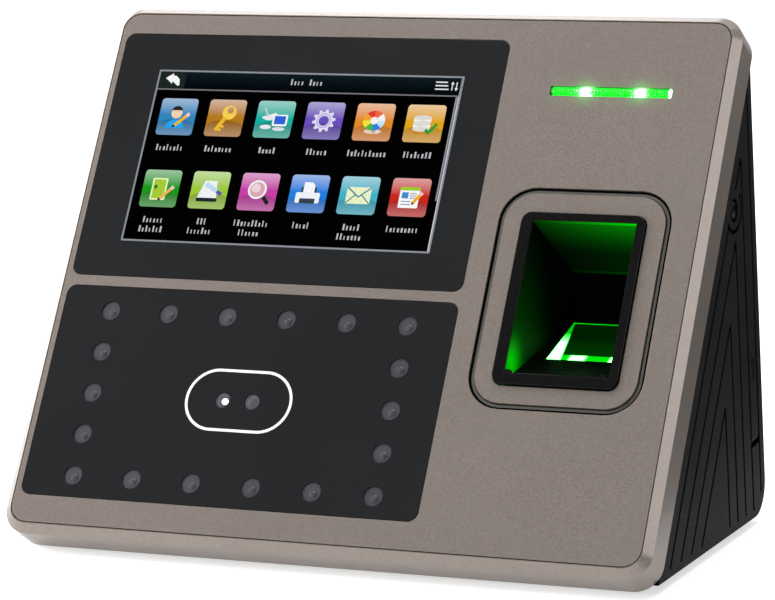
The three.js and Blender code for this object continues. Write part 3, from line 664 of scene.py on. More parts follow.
def settled(holder):
    # the evaluated mesh, once every modifier is taken in
    bpy.context.view_layer.update()
    depsgraph = bpy.context.evaluated_depsgraph_get()
    mesh = bpy.data.meshes.new_from_object(holder.evaluated_get(depsgraph))
    bpy.data.objects.remove(holder)
    return mesh


def finishNode(name, material, width=0.2, segments=2, sharp=40):
    mesh = settled(refined(name, width, segments, sharp))
    return pieceOf(mesh, name + "_fine", material, bodyOf[name], [name])


def startTree(name, sizes):
    tree = bpy.data.node_groups.new(name, "GeometryNodeTree")
    for way in ("INPUT", "OUTPUT"):
        tree.interface.new_socket("Geometry", in_out=way, socket_type="NodeSocketGeometry")
    for label, value in sizes.items():
        kind = "NodeSocketInt" if isinstance(value, int) else "NodeSocketFloat"
        tree.interface.new_socket(label, in_out="INPUT", socket_type=kind)
    return tree, tree.nodes.new("NodeGroupInput").outputs


def runTree(tree, geometry, sizes, material, place, name):
    realised = addNode(tree, "GeometryNodeRealizeInstances", geometry)
    covered = addNode(tree, "GeometryNodeSetMaterial", {"Geometry": realised, "Material": material})
    addNode(tree, "NodeGroupOutput", {"Geometry": covered}, out=None)
    holder = bpy.data.objects.new(name + "_seed", bpy.data.meshes.new(name + "_seed"))
    bpy.context.scene.collection.objects.link(holder)
    modifier = holder.modifiers.new(name, "NODES")
    modifier.node_group = tree
    for item in tree.interface.items_tree:
        if item.in_out == "INPUT" and item.name in sizes:
            modifier[item.identifier] = sizes[item.name]
    mesh = settled(holder)
    mesh.transform(place)
    return mesh


# painted front
def makeFront():
    finishNode("bezel_frame", paint, 0.35, 3, 30)
    finishNode("front_panel", paintByLight, 0.16, 2)
    finishNode("finger_plate", paint, 0.22, 3)
    finishNode("finger_gasket", greyRubber, 0.2, 2)
    finishNode("display_glass", glassBlack, 0.14, 3)


makeFront()
print("painted front made")

# face window: emitters, cameras and the printed outline
window = {
    "centre": (-31.0, 39.7), "pitch": (18.43, 12.55), "columns": 6, "rows": 5, "hole": 2.8,
    "eyes": (-35.8, -26.8), "eyeUp": 39.7, "eyeHole": 2.25, "glint": (0.7, -0.35),
    "outline": (-31.0, 39.7, 32.0, 17.8), "stroke": 0.8,
}


def emitterSpots():
    columns, rows = window["columns"], window["rows"]
    spots = []
    for i in range(columns):
        for j in range(rows):
            if i in (0, columns - 1) or j in (0, rows - 1):
                spots.append((window["centre"][0] + (i - (columns - 1) / 2) * window["pitch"][0],
                              window["centre"][1] + (j - (rows - 1) / 2) * window["pitch"][1]))
    return spots


def makeWindow():
    holder = refined("face_window", 0)
    bm = bmesh.new()
    for x, y in emitterSpots():
        addPrism(bm, discLoop(x, y, window["hole"], 40), -3, 1)
    for x in window["eyes"]:
        addPrism(bm, discLoop(x, window["eyeUp"], window["eyeHole"], 40), -3, 1)
    bmesh.ops.transform(bm, matrix=faceFrame, verts=bm.verts)
    bmesh.ops.recalc_face_normals(bm, faces=bm.faces)
    cutterMesh = bpy.data.meshes.new("windowCutter")
    bm.to_mesh(cutterMesh)
    bm.free()
    cutter = bpy.data.objects.new("windowCutter", cutterMesh)
    bpy.context.scene.collection.objects.link(cutter)
    cutting = holder.modifiers.new("holes", "BOOLEAN")
    cutting.object = cutter
    cutting.solver = "EXACT"
    edge = holder.modifiers.new("edges", "BEVEL")
    edge.width = 0.12 * mm
    edge.segments = 2
    edge.limit_method = "ANGLE"
    edge.angle_limit = math.radians(40)
    mesh = settled(holder)
    bpy.data.objects.remove(cutter)
    pieceOf(mesh, "face_window_fine", glassBlack, "case", ["face_window"])


def makeEmitterLenses():
    # a lens stands at each border point of a grid: a flat rim, and a clear dome a little below it
    sizes = {"Pitch U": window["pitch"][0], "Pitch V": window["pitch"][1], "Columns": window["columns"],
             "Rows": window["rows"], "Lens Radius": window["hole"] - 0.03, "Dome Radius": 1.15}
    tree, given = startTree("emitterLenses", sizes)
    spans = []
    for pitch, count in (("Pitch U", "Columns"), ("Pitch V", "Rows")):
        gaps = addNode(tree, "Math", given[count], 1.0, operation="SUBTRACT")
        spans.append(addNode(tree, "Math", given[pitch], gaps, operation="MULTIPLY"))
    grid = addNode(
        tree, "GeometryNodeMeshGrid",
        {
            "Size X": spans[0], "Size Y": spans[1], "Vertices X": given["Columns"],
            "Vertices Y": given["Rows"]})
    place = addNode(tree, "SeparateXYZ", addNode(tree, "GeometryNodeInputPosition"), out=None).outputs
    within = []
    for axis in (0, 1):
        size = addNode(tree, "Math", place[axis], operation="ABSOLUTE")
        reach = addNode(tree, "Math", spans[axis], 0.5, -0.1, operation="MULTIPLY_ADD")
        within.append(addNode(tree, "Math", size, reach, operation="LESS_THAN"))
    inner = addNode(tree, "Math", within[0], within[1], operation="MULTIPLY")
    border = addNode(
        tree, "GeometryNodeDeleteGeometry", {"Geometry": grid, "Selection": inner}, domain="POINT")
    rim = addNode(
        tree, "GeometryNodeMeshCylinder", {"Vertices": 40, "Radius": given["Lens Radius"], "Depth": 1.4})
    rim = addNode(tree, "GeometryNodeTransform", {"Geometry": rim, "Translation": (0, 0, -1.1)})
    dome = addNode(
        tree, "GeometryNodeMeshUVSphere", {"Segments": 32, "Rings": 16, "Radius": given["Dome Radius"]})
    dome = addNode(
        tree, "GeometryNodeTransform",
        {"Geometry": dome, "Translation": (0.5, -0.6, -0.45), "Scale": (1, 1, 0.42)})
    lens = addNode(tree, "GeometryNodeJoinGeometry", out=None)
    tree.links.new(rim, lens.inputs[0])
    tree.links.new(dome, lens.inputs[0])
    stood = addNode(tree, "GeometryNodeInstanceOnPoints", {"Points": border, "Instance": lens.outputs[0]})
    shift = faceFrame @ Matrix.Translation((*window["centre"], 0))
    mesh = runTree(tree, stood, sizes, smokedLens, shift, "emitter_lenses")
    pieceOf(mesh, "emitter_lenses", None, "case")


def makeEyes():
    names = (("infrared_camera_lens", True), ("colour_camera_lens", False))
    for x, (name, bright) in zip(window["eyes"], names):
        bm = bmesh.new()
        edge = window["eyeHole"] - 0.03
        addLathe(bm, [(0, -1.9), (edge, -1.9), (edge, -0.28), (edge - 0.12, -0.2), (1.6, -0.2), (1.5, -0.26),
                      (1.4, -0.2), (0.9, -0.12), (0.45, -0.08), (0, -0.07)], 40, (x, window["eyeUp"]))
        pieceFrom(bm, name, faceFrame, eyeGlass(name, x, bright), "case")


def eyeGlass(name, x, bright):
    # a coated lens under the glass: smoke-grey; the infrared one shows a painted reflection of the lamp,
    # a white disc that glows, with a dark rim
    material, tree, shader, place = startMaterial(name + "Coating", 0.15, **{"Specular IOR Level": 0.3})
    across, up, out = faceMeasure(tree, place)
    offset = addNode(tree, "CombineXYZ", across, up)
    middle = (x + window["glint"][0], window["eyeUp"] + window["glint"][1], 0)
    away = addNode(tree, "VectorMath", offset, middle, out="Value", operation="DISTANCE")
    disc = addNode(tree, "MapRange", away, 1.05, 0.9, 0, 1)
    ring = addNode(tree, "MapRange", away, 1.55, 1.25, 0, 1)
    rim = addNode(
        tree, "Mix", {0: ring, 6: colour("#48464c"), 7: colour("#101014" if bright else "#434147")}, out=2,
        data_type="RGBA")
    tree.links.new(
        addNode(
            tree, "Mix", {0: disc, 6: rim, 7: colour("#f6f2f6" if bright else "#3f4448")}, out=2,
            data_type="RGBA"),
        shader.inputs["Base Color"])
    # the painted reflection of the lamp glows of itself
    if bright:
        shader.inputs["Emission Color"].default_value = (1, 1, 1, 1)
        tree.links.new(
            addNode(tree, "Math", disc, 1.5, operation="MULTIPLY"), shader.inputs["Emission Strength"])
    return material


def makeOutline():
    cx, cy, wide, tall = window["outline"]
    half = window["stroke"] / 2
    loops = []
    for grow in (half, -half):
        loops.append(roundedLoop(cx - wide / 2 - grow, cx + wide / 2 + grow, cy - tall / 2 - grow,
                                 cy + tall / 2 + grow, tall / 2 + grow - 0.01, 20))
    bm = bmesh.new()
    addPrism(bm, loops[0], 0.01, 0.06, loops[1])
    pieceFrom(bm, "printed_outline", faceFrame, whiteInk, "case")


makeWindow()
makeEmitterLenses()
makeEyes()
makeOutline()
print("face window made")

# gasket
gasket = {
    "left": 35.96, "right": 86.44, "low": 41.96, "high": 107.84, "round": 10.1, "breadth": 0.66,
    "steps": 14}


def makeGasketShadowStrip():
    # a soft black strip that closes the groove outside the grey gasket: painted shade, standing where the gap
    # falls dark
    loops = [roundedLoop(gasket["left"] + by, gasket["right"] - by, gasket["low"] + by, gasket["high"] - by,
                         gasket["round"] - by, gasket["steps"]) for by in (0, gasket["breadth"])]
    bm = bmesh.new()
    addPrism(bm, loops[0], -1.5, -0.6, hole=loops[1])
    pieceFrom(bm, "finger_gasket_shadow_strip", faceFrame, grooveShadowBlack, "case")


makeGasketShadowStrip()
print("gasket made")

# fingerprint well
well = {
    "lip": 1.2, "lipRound": 0.95, "deep": 0.75, "left": 46.6, "right": 76.7, "roof": 97.7, "clipWidth": 2.4,
    "clipUp": 52.4, "clips": (45.9, 73.8)}


def makeWell():
    bm = bmesh.new()
    bm.from_mesh(nodes["finger_well"].data)
    bmesh.ops.remove_doubles(bm, verts=bm.verts, dist=2e-6)
    bmesh.ops.dissolve_limit(bm, angle_limit=math.radians(0.7), verts=bm.verts, edges=bm.edges)
    bm.edges.ensure_lookup_table()
    toFace = faceFrame.inverted()

    def onLip(edge):
        return all(abs((toFace @ v.co).z - well["lip"]) < 0.02 for v in edge.verts)

    bevelSharp(bm, well["lipRound"] * mm, 5, onLip)
    bevelSharp(bm, 0.15 * mm, 2, lambda e: not onLip(e) and all((toFace @ v.co).z < -2.2 for v in e.verts))
    mesh = bpy.data.meshes.new("finger_well_fine")
    bm.to_mesh(mesh)
    bm.free()
    piece = pieceOf(mesh, "finger_well_fine", satinPlastic, "case", ["finger_well"])
    piece.data.materials.append(wellPlastic())
    for polygon in piece.data.polygons:
        across, up, out = toFace @ polygon.center
        inside = well["left"] - 0.4 < across < well["right"] + 0.4 and up < well["roof"] + 0.4
        polygon.material_index = int(inside and out < well["deep"])
    clips = bmesh.new()
    for left in well["clips"]:
        addPrism(
            clips,
            roundedLoop(left, left + well["clipWidth"], well["clipUp"] - 0.9, well["clipUp"] + 0.9, 0.3, 3),
            -0.6, 0.9)
    bevelSharp(clips, 0.2, 2)
    pieceFrom(clips, "well_clips", faceFrame, satinPlastic, "case")


def wellPlastic():
    # matt black ABS in the tunnel, where the prism's green falls on the left wall by the mouth
    # and on the roof
    material, tree, shader, place = startMaterial("mattBlackAbsLit", 0.65, **{"Specular IOR Level": 0.02})
    grain = addNode(tree, "TexNoise", {"Vector": place, "Scale": 1 / (0.5 * mm), "Detail": 1})
    tree.links.new(
        addNode(
            tree, "Mix", {0: grain, 6: colour("#020402"), 7: colour("#050805")}, out=2, data_type="RGBA"),
        shader.inputs["Base Color"])
    tree.links.new(
        addNode(tree, "Bump", {"Height": grain, "Distance": 0.01 * mm, "Strength": 1}),
        shader.inputs["Normal"])
    across, up, out = faceMeasure(tree, place)
    onRoof = addNode(tree, "MapRange", up, well["roof"] - 0.4, well["roof"] - 0.2, 0, 1)
    toRight = addNode(tree, "MapRange", across, well["left"] - 4, well["right"], 0, 1)
    roofDepth = addNode(
        tree, "Math",
        addNode(
            tree, "Math", addNode(tree, "MapRange", out, -24, 0, 0, 1),
            addNode(tree, "MapRange", out, -24, 0, 0, 1), operation="MULTIPLY"),
        0.08, operation="ADD")
    roof = addNode(
        tree, "Math",
        addNode(
            tree, "Math", addNode(tree, "Math", onRoof, toRight, operation="MULTIPLY"), roofDepth,
            operation="MULTIPLY"),
        0.21, operation="MULTIPLY")
    roofRear = addNode(
        tree, "Math",
        addNode(
            tree, "Math", addNode(tree, "Math", onRoof, hill(tree, out, -35.0, 0.5), operation="MULTIPLY"),
            toRight, operation="MULTIPLY"),
        0.05, operation="MULTIPLY")
    onLeft = addNode(tree, "MapRange", across, well["left"] + 0.4, well["left"] + 0.2, 0, 1)
    patch = addNode(
        tree, "Math",
        addNode(
            tree, "Math", addNode(tree, "Math", onLeft, hill(tree, up, 56.5, 5.2), operation="MULTIPLY"),
            hill(tree, out, -2.5, 5.5), operation="MULTIPLY"),
        0.5, operation="MULTIPLY")
    wash = addNode(
        tree, "Math",
        addNode(
            tree, "Math", addNode(tree, "Math", onLeft, hill(tree, up, 64.0, 17.0), operation="MULTIPLY"),
            hill(tree, out, -2.0, 14.0), operation="MULTIPLY"),
        0.022, operation="MULTIPLY")
    byMouth = addNode(tree, "MapRange", out, -0.9, -0.3, 0, 1)
    topLine = addNode(
        tree, "Math",
        addNode(
            tree, "Math",
            addNode(
                tree, "Math",
                addNode(
                    tree, "Math", byMouth,
                    addNode(tree, "MapRange", up, well["roof"] - 0.3, well["roof"], 0, 1),
                    operation="MULTIPLY"),
                toRight, operation="MULTIPLY"),
            toRight, operation="MULTIPLY"),
        0.5, operation="MULTIPLY")
    sideLine = addNode(
        tree, "Math",
        addNode(
            tree, "Math",
            addNode(
                tree, "Math", byMouth,
                addNode(tree, "MapRange", across, well["right"] - 0.2, well["right"], 0, 1),
                operation="MULTIPLY"),
            addNode(tree, "MapRange", up, 60, 97, 0, 1), operation="MULTIPLY"),
        0.25, operation="MULTIPLY")
    shader.inputs["Emission Color"].default_value = colour("#00ff08")
    tree.links.new(
        addNode(
            tree, "Math",
            addNode(
                tree, "Math",
                addNode(
                    tree, "Math",
                    addNode(
                        tree, "Math", addNode(tree, "Math", roof, roofRear, operation="ADD"), patch,
                        operation="ADD"),
                    wash, operation="ADD"),
                topLine, operation="ADD"),
            sideLine, operation="ADD"),
        shader.inputs["Emission Strength"])
    return material


def sensorGlass():
    # polished prism lit from its left side: white-hot at the lit edges, dark green across the middle
    material, tree, shader, place = startMaterial(
        "litPrism", 0.2, **{"Base Color": colour("#010a02"), "Specular IOR Level": 0.1})
    low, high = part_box("sensor_window")
    across, along, up = addNode(tree, "SeparateXYZ", place, out=None).outputs
    side = addNode(tree, "MapRange", across, low.x, high.x, 0, 1)
    deep = addNode(tree, "MapRange", along, low.y, high.y, 0, 1)
    taper = addNode(tree, "MapRange", deep, 0, 1, 0.2, 0.02)
    edge = addNode(tree, "Math", taper, side, operation="SUBTRACT")
    wedge = addNode(tree, "MapRange", edge, -0.01, 0.01, 0, 1)
    front = addNode(
        tree, "Math", addNode(tree, "MapRange", deep, 0.13, 0.11, 0, 1),
        addNode(tree, "MapRange", side, 0.965, 0.955, 0, 1), operation="MULTIPLY")
    patches = addNode(
        tree, "Math", hill(tree, side, 0.42, 0.13), hill(tree, side, 0.93, 0.07), operation="ADD")
    hot = addNode(
        tree, "Math",
        addNode(
            tree, "Math", wedge, addNode(tree, "MapRange", deep, 0.7, 0.45, 0, 1), operation="MULTIPLY"),
        addNode(
            tree, "Math", front, addNode(tree, "MapRange", patches, 0.3, 0.6, 0, 1), operation="MULTIPLY"),
        operation="ADD")
    rear = addNode(tree, "MapRange", deep, 0.965, 0.975, 0, 1)
    green = addNode(
        tree, "Math",
        addNode(
            tree, "Math", addNode(tree, "Math", wedge, 0.6, operation="MULTIPLY"),
            addNode(tree, "Math", front, 0.8, operation="MULTIPLY"), operation="ADD"),
        addNode(tree, "Math", rear, 0.7, operation="MULTIPLY"), operation="ADD")
    sheen = addNode(
        tree, "Math", 0.012,
        addNode(tree, "Math", addNode(tree, "MapRange", deep, 0.6, 0.1, 0, 1), 0.03, operation="MULTIPLY"),
        operation="ADD")
    heat = addNode(tree, "Clamp", hot)
    power = addNode(
        tree, "Math", addNode(tree, "Math", sheen, green, operation="ADD"),
        addNode(tree, "Math", heat, 8.0, operation="MULTIPLY"), operation="ADD")
    tree.links.new(
        addNode(
            tree, "Mix", {0: heat, 6: colour("#00ff10"), 7: colour("#60ff68")}, out=2, data_type="RGBA"),
        shader.inputs["Emission Color"])
    tree.links.new(power, shader.inputs["Emission Strength"])
    return material


makeWell()
finishNodes = {"sensor_module": (satinPlastic, 0.3), "sensor_board": (boardGreen, 0.1)}
for nodeName, (nodeMaterial, edge) in finishNodes.items():
    finishNode(nodeName, nodeMaterial, edge)
finishNode("sensor_window", sensorGlass(), 0.15, 2)
print("fingerprint well made")


# status light
def makeLightGuide():
    # upright prisms side by side over a thin carrier bar
    length = light["right"] - light["left"] - 0.4
    sizes = {
        "Ribs": light["ribs"], "Pitch": length / light["ribs"],
        "Height": light["high"] - light["low"] - 0.4, "Depth": 3.0}
    tree, given = startTree("guideRibs", sizes)
    line = addNode(
        tree, "GeometryNodeMeshLine",
        {"Count": given["Ribs"], "Offset": addNode(tree, "CombineXYZ", given["Pitch"])})
    radius = addNode(tree, "Math", given["Pitch"], 0.5, operation="MULTIPLY")
    rib = addNode(
        tree, "GeometryNodeMeshCylinder", {"Vertices": 10, "Radius": radius, "Depth": given["Height"]})
    rib = addNode(
        tree, "GeometryNodeTransform",
        {"Geometry": rib, "Rotation": (math.pi / 2, 0, 0), "Scale": (0.98, 1, 0.5)})
    stood = addNode(tree, "GeometryNodeInstanceOnPoints", {"Points": line, "Instance": rib})
    start = Vector(
        (
            light["left"] + 0.2 + sizes["Pitch"] / 2, (light["low"] + light["high"]) / 2,
            light["proud"] - 0.3))
    mesh = runTree(tree, stood, sizes, guideLit, faceFrame @ Matrix.Translation(start), "light_ribs")
    pieceOf(mesh, "light_ribs", None, "case")
    bm = bmesh.new()
    addPrism(
        bm,
        roundedLoop(
            light["left"] + 0.2, light["right"] - 0.2, light["low"] + 0.2, light["high"] - 0.2, 0.4, 5),
        -3.2, -0.3)
    pieceFrom(
        bm, "status_light_lens_fine", faceFrame, guideLit, "case",
        ["status_light_lens"])


makeLightGuide()
print("status light made")

# the lit picture
screen = {
    "centre": (-30.85, 114.0), "size": (96.5, 54.7), "line": 0.55, "base": 0.03, "layer": 0.03,
    "header": 6.3, "tile": 5.85, "tileRound": 1.05,
}


def makePicture():
    cx, cy = screen["centre"]
    wide, tall = screen["size"]
    left, right, low, high = cx - wide / 2, cx + wide / 2, cy - tall / 2, cy + tall / 2
    shapes = []  # (outline, hole, colour, level)

    def draw(loop, code, level=1, hole=None):
        shapes.append((loop, hole, code, level))

    def rect(x0, x1, y0, y1, code, level=1, radius=0):
        draw(
            roundedLoop(x0, x1, y0, y1, radius, 5) if radius else [(x0, y0), (x1, y0), (x1, y1), (x0, y1)],
            code, level)

    line = screen["line"]
    rect(left, right, low, high, "#020203", 0)
    draw(
        roundedLoop(left, right, low, high, 0.3, 3), "#8d9098", 1,
        roundedLoop(left + line, right - line, low + line, high - line, 0.05, 3))
    rect(right - line * 1.5, right - line, low + line, high - line, "#d4d6dc", 1)
    head = high - screen["header"]
    bands = 8
    for i in range(bands):
        tone = int(8 + 22 * i / bands)
        rect(
            left + line, right - line, head + (high - line - head) * i / bands,
            head + (high - line - head) * (i + 1) / bands, f"#{tone // 2:02x}{tone:02x}{tone + 4:02x}", 1)
    rect(left + line, left + 9, head + 0.3, high - line, "#1c2624", 2)
    rect(left + line, right - line, head - 0.15, head + 0.25, "#77757a", 2)
    rect(right - 1.5, right - 1.0, low + 16, head - 0.2, "#8d8f96", 2)
    # back arrow
    ax, ay = left + 5.2, head + 3.1
    draw(
        [
            (ax - 2.6, ay + 0.5), (ax - 0.3, ay - 1.3), (ax - 0.3, ay - 0.45), (ax + 1.6, ay - 1.9),
            (ax + 2.2, ay - 1.7), (ax + 1.9, ay + 0.2), (ax + 0.8, ay + 1.2), (ax - 0.3, ay + 1.35),
            (ax - 0.3, ay + 2.1)],
        "#f6f6f6", 3)
    # list and sort sign
    sx = right - 8.4
    for i in range(3):
        rect(sx, sx + 4.2 - 0.3 * i, ay - 1.2 + i * 1.1, ay - 0.8 + i * 1.1, "#e2e4e6", 3)
    for x, way in ((sx + 5.2, 1), (sx + 6.5, -1)):
        rect(x - 0.16, x + 0.16, ay - 1.3, ay + 1.3, "#e2e4e6", 3)
        tip = ay + 1.5 * way
        draw([(x - 0.55, tip - 0.9 * way), (x + 0.55, tip - 0.9 * way), (x, tip)][::way], "#e2e4e6", 3)
    rng = random.Random(7)

    def greek(x, y, letters, height=1.9):
        # a run of small strokes that stands for a word
        step = 1.12
        x0 = x - letters * step / 2
        for i in range(letters):
            tall = height * (1.0 if i == 0 else rng.choice((0.62, 0.62, 0.7, 1.0)))
            rect(
                x0 + i * step, x0 + i * step + step * rng.choice((0.3, 0.42, 0.5)), y, y + tall, "#b9bbbf",
                2)

    greek(cx - 3.0, ay - 0.8, 4)
    greek(cx + 2.9, ay - 0.8, 4)
    tiles = []
    for row, rowTiles in enumerate(pictures):
        for column, (tint, sign, words) in enumerate(rowTiles):
            x = rowStart[row][0] + column * tilePitch
            y = rowStart[row][1]
            half = screen["tile"]
            tiles.append((x, y, half, tint))

            def mark(loop, code, level=3, hole=None, x=x, y=y, half=half):
                move = [(x + a * half, y + b * half) for a, b in loop]
                inner = hole and [(x + a * half, y + b * half) for a, b in hole]
                draw(move, code, level, inner)

            sign(mark)
            for i, letters in enumerate(words):
                greek(x - 0.2 * i, y - half - 4.9 - i * 2.95, letters)
    return shapes, tiles


def pencil(mark, x0, y0, x1, y1, body="#f2b322"):
    dx, dy = (x1 - x0), (y1 - y0)
    mark(barLoop(x0 + dx * 0.18, y0 + dy * 0.18, x0 + dx * 0.84, y0 + dy * 0.84, 0.17), body, 5)
    mark(barLoop(x0 + dx * 0.84, y0 + dy * 0.84, x1, y1, 0.19), "#f3c6cc", 5)
    length = math.hypot(dx, dy)
    nx, ny = -dy / length * 0.085, dx / length * 0.085
    mark(
        [(x0, y0), (x0 + dx * 0.18 - nx, y0 + dy * 0.18 - ny), (x0 + dx * 0.18 + nx, y0 + dy * 0.18 + ny)],
        "#20242a", 5)


def personSign(mark):
    mark(discLoop(-0.05, 0.2, 0.3, 24), "#f0d2b0")
    mark(discLoop(-0.05, -0.62, 0.5, 24, 0.95, 0, 180), "#21a6ee")
    mark(discLoop(-0.05, 0.3, 0.31, 16, 0.9, 10, 160), "#2a2523", 4)
    pencil(mark, -0.2, -0.62, 0.66, 0.18)


def keySign(mark):
    mark(discLoop(0.16, 0.3, 0.38, 28), "#f6cf52", 3, discLoop(0.2, 0.42, 0.18, 28))
    mark(barLoop(0.0, 0.04, -0.42, -0.68, 0.2), "#f0bb32", 4)
    mark(barLoop(-0.2, -0.42, 0.0, -0.5, 0.12), "#f0bb32", 4)
    mark(barLoop(-0.32, -0.58, -0.12, -0.68, 0.12), "#f0bb32", 4)


def dishSign(mark):
    mark(discLoop(-0.3, 0.2, 0.42, 22, 0.6, 200, 200), "#e8eaec")
    mark(barLoop(-0.36, 0.16, -0.6, 0.6, 0.09), "#c9ccd2", 4)
    mark(discLoop(-0.4, -0.42, 0.3, 20, 0.4), "#e8eaec")
    mark(roundedLoop(-0.08, 0.72, -0.36, 0.26, 0.08, 3), "#f2f3f5", 4)
    mark(roundedLoop(0.02, 0.62, -0.26, 0.18, 0.03, 3), "#2f63d8", 5)
    mark(discLoop(0.32, -0.52, 0.34, 20, 0.3), "#dcdfe4", 4)


def gearSign(mark):
    teeth = 10
    loop = []
    for i in range(teeth * 4):
        reach = 0.62 if i % 4 in (0, 1) else 0.47
        turn = 2 * math.pi * (i + 0.5) / (teeth * 4)
        loop.append((reach * math.cos(turn), reach * math.sin(turn)))
    mark(loop, "#dfdcf2", 3, discLoop(0, 0, 0.27, teeth * 4))
    mark(discLoop(0, 0, 0.4, 40), "#b9b2e2", 4, discLoop(0, 0, 0.32, 40))


def wheelSign(mark):
    tones = ("#e43c2e", "#f2a12c", "#f4e23a", "#48b848", "#2f7fe0", "#b9e2f4", "#f4f4f4", "#e8684a")
    for i, tone in enumerate(tones):
        arc = discLoop(0.0, 0.08, 0.58, 7, 0.92, 90 + i * 45, 45)
        mark([(0.0, 0.08), *arc], tone)
    mark(discLoop(0, 0.08, 0.2, 24), "#f6efe6", 4)
    mark(discLoop(0.02, -0.5, 0.46, 24, 0.28), "#e9e4da", 2)


def stackSign(mark):
    for i, tone in enumerate(("#c98a2e", "#e9e6dc", "#cfd3d8")):
        y = -0.42 + i * 0.3
        mark(roundedLoop(-0.58, 0.34, y - 0.14, y + 0.12, 0.12, 4), "#f3f1ea" if i else tone, 3)
        mark(discLoop(-0.12, y + 0.12, 0.46, 24, 0.3), "#dcdad2", 4)
    mark(barLoop(0.12, -0.32, 0.3, -0.52, 0.16), "#2f9a32", 6)
    mark(barLoop(0.26, -0.54, 0.68, 0.0, 0.16), "#2f9a32", 6)


def doorSign(mark):
    mark(roundedLoop(-0.5, 0.32, -0.62, 0.56, 0.06, 3), "#eef6c8")
    mark(roundedLoop(-0.42, 0.24, -0.54, 0.48, 0.04, 3), "#a2cc34", 4)
    mark(roundedLoop(-0.36, -0.2, -0.02, 0.18, 0.03, 3), "#207a20", 5)
    pencil(mark, -0.08, -0.68, 0.7, 0.12, "#f0b45a")


def driveSign(mark):
    mark([(-0.6, -0.42), (0.46, -0.42), (0.34, 0.5), (-0.3, 0.5)], "#eff0f2")
    mark(roundedLoop(-0.62, 0.5, -0.62, -0.42, 0.05, 3), "#20262c", 4)
    mark(barLoop(-0.22, 0.32, 0.42, -0.06, 0.24), "#bcdcf2", 5)
    mark(barLoop(0.42, -0.06, 0.7, -0.22, 0.18), "#5a54a8", 6)


def lensSign(mark):
    mark(discLoop(-0.08, 0.12, 0.5, 32), "#eef6f2", 3, discLoop(-0.08, 0.12, 0.4, 32))
    mark(discLoop(-0.08, 0.12, 0.4, 32), "#dba6b4", 3)
    mark(discLoop(-0.16, 0.2, 0.24, 24), "#ecd3da", 4)
    mark(barLoop(0.3, -0.26, 0.62, -0.62, 0.2), "#1d2420", 4)


def printerSign(mark):
    mark([(-0.28, -0.05), (0.3, -0.05), (0.3, 0.44), (0.16, 0.6), (-0.28, 0.6)], "#f7f9fc", 4)
    mark(roundedLoop(-0.4, 0.42, -0.05, 0.34, 0.03, 3), "#3a4550", 3)
    mark(roundedLoop(-0.64, 0.64, -0.5, 0.06, 0.08, 3), "#eef2f8", 5)
    mark(roundedLoop(-0.4, 0.42, -0.52, -0.26, 0.03, 3), "#37424c", 6)


def envelopeSign(mark):
    mark(roundedLoop(-0.64, 0.64, -0.44, 0.44, 0.03, 3), "#e9f2c6")
    mark(barLoop(-0.62, 0.42, 0.0, -0.08, 0.07), "#2f7f98", 4)
    mark(barLoop(0.0, -0.08, 0.62, 0.42, 0.07), "#2f7f98", 4)
    mark(barLoop(-0.62, -0.42, -0.16, 0.04, 0.06), "#2f7f98", 4)
    mark(barLoop(0.62, -0.42, 0.16, 0.04, 0.06), "#2f7f98", 4)


def cardSign(mark):
    mark(roundedLoop(-0.52, 0.5, -0.56, 0.5, 0.05, 3), "#f6f8fa")
    mark(roundedLoop(-0.52, 0.5, 0.36, 0.54, 0.04, 3), "#9ccc2a", 4)
    mark(roundedLoop(-0.4, -0.06, -0.06, 0.26, 0.02, 3), "#3f8ecb", 4)
    for y in (0.2, 0.08, -0.04, -0.22, -0.38):
        mark(barLoop(0.02 if y > -0.1 else -0.4, y, 0.36 if y > -0.1 else 0.1, y, 0.05), "#8a94a4", 4)
    pencil(mark, 0.16, -0.4, 0.64, 0.26, "#f0b020")


tilePitch = 15.6
rowStart = ((-70.05, 126.3), (-70.05, 103.4))
pictures = (
    (("#2f86bd", personSign, (8,)), ("#b57a1e", keySign, (8,)), ("#19b0a0", dishSign, (5,)),
     ("#6a4fb8", gearSign, (6,)), ("#e08a2a", wheelSign, (11,)), ("#e0a41c", stackSign, (8,))),
    (("#1c9a1c", doorSign, (6, 7)), ("#9cc83c", driveSign, (3, 7)), ("#c63fa6", lensSign, (10, 6)),
     ("#1f7fdc", printerSign, (5,)), ("#3fb2c8", envelopeSign, (5, 7)), ("#c8281e", cardSign, (9,))),
)


def inkMesh(name, shapes, material):
    bm = bmesh.new()
    layer = bm.loops.layers.float_color.new("tint")
    for loop, hole, code, level in shapes:
        top = screen["base"] + screen["layer"] * (level + 1)
        faces = addPrism(bm, loop, screen["base"] if level == 0 else top - screen["layer"] * 0.9, top, hole)
        for face in faces:
            for corner in face.loops:
                corner[layer] = colour(code)
    return pieceFrom(bm, name, faceFrame, material, "case", smoothAngle=20)


def tileMesh(tiles):
    bm = bmesh.new()
    layer = bm.loops.layers.float_color.new("tint")
    uv = bm.loops.layers.uv.new("tile")
    for x, y, half, code in tiles:
        top = screen["base"] + screen["layer"] * 3
        loop = roundedLoop(x - half, x + half, y - half, y + half, screen["tileRound"], 6)
        for face in addPrism(bm, loop, top - screen["layer"] * 0.9, top):
            for corner in face.loops:
                corner[layer] = colour(code)
                corner[uv].uv = ((corner.vert.co.x - x) / half, (corner.vert.co.y - y) / half)
    pieceFrom(bm, "picture_tiles", faceFrame, tilePicture, "case", smoothAngle=20)


drawn, drawnTiles = makePicture()
inkMesh("picture_marks", drawn, inkPicture)
tileMesh(drawnTiles)
print("picture made:", len(drawn), "marks")

# rear housing and what shows on it
cover = {"tip": (94.1, 39.2), "barbs": ((92.2, 37.7), (96.2, 37.9)), "tail": (94.5, 32.7), "stroke": 0.5}


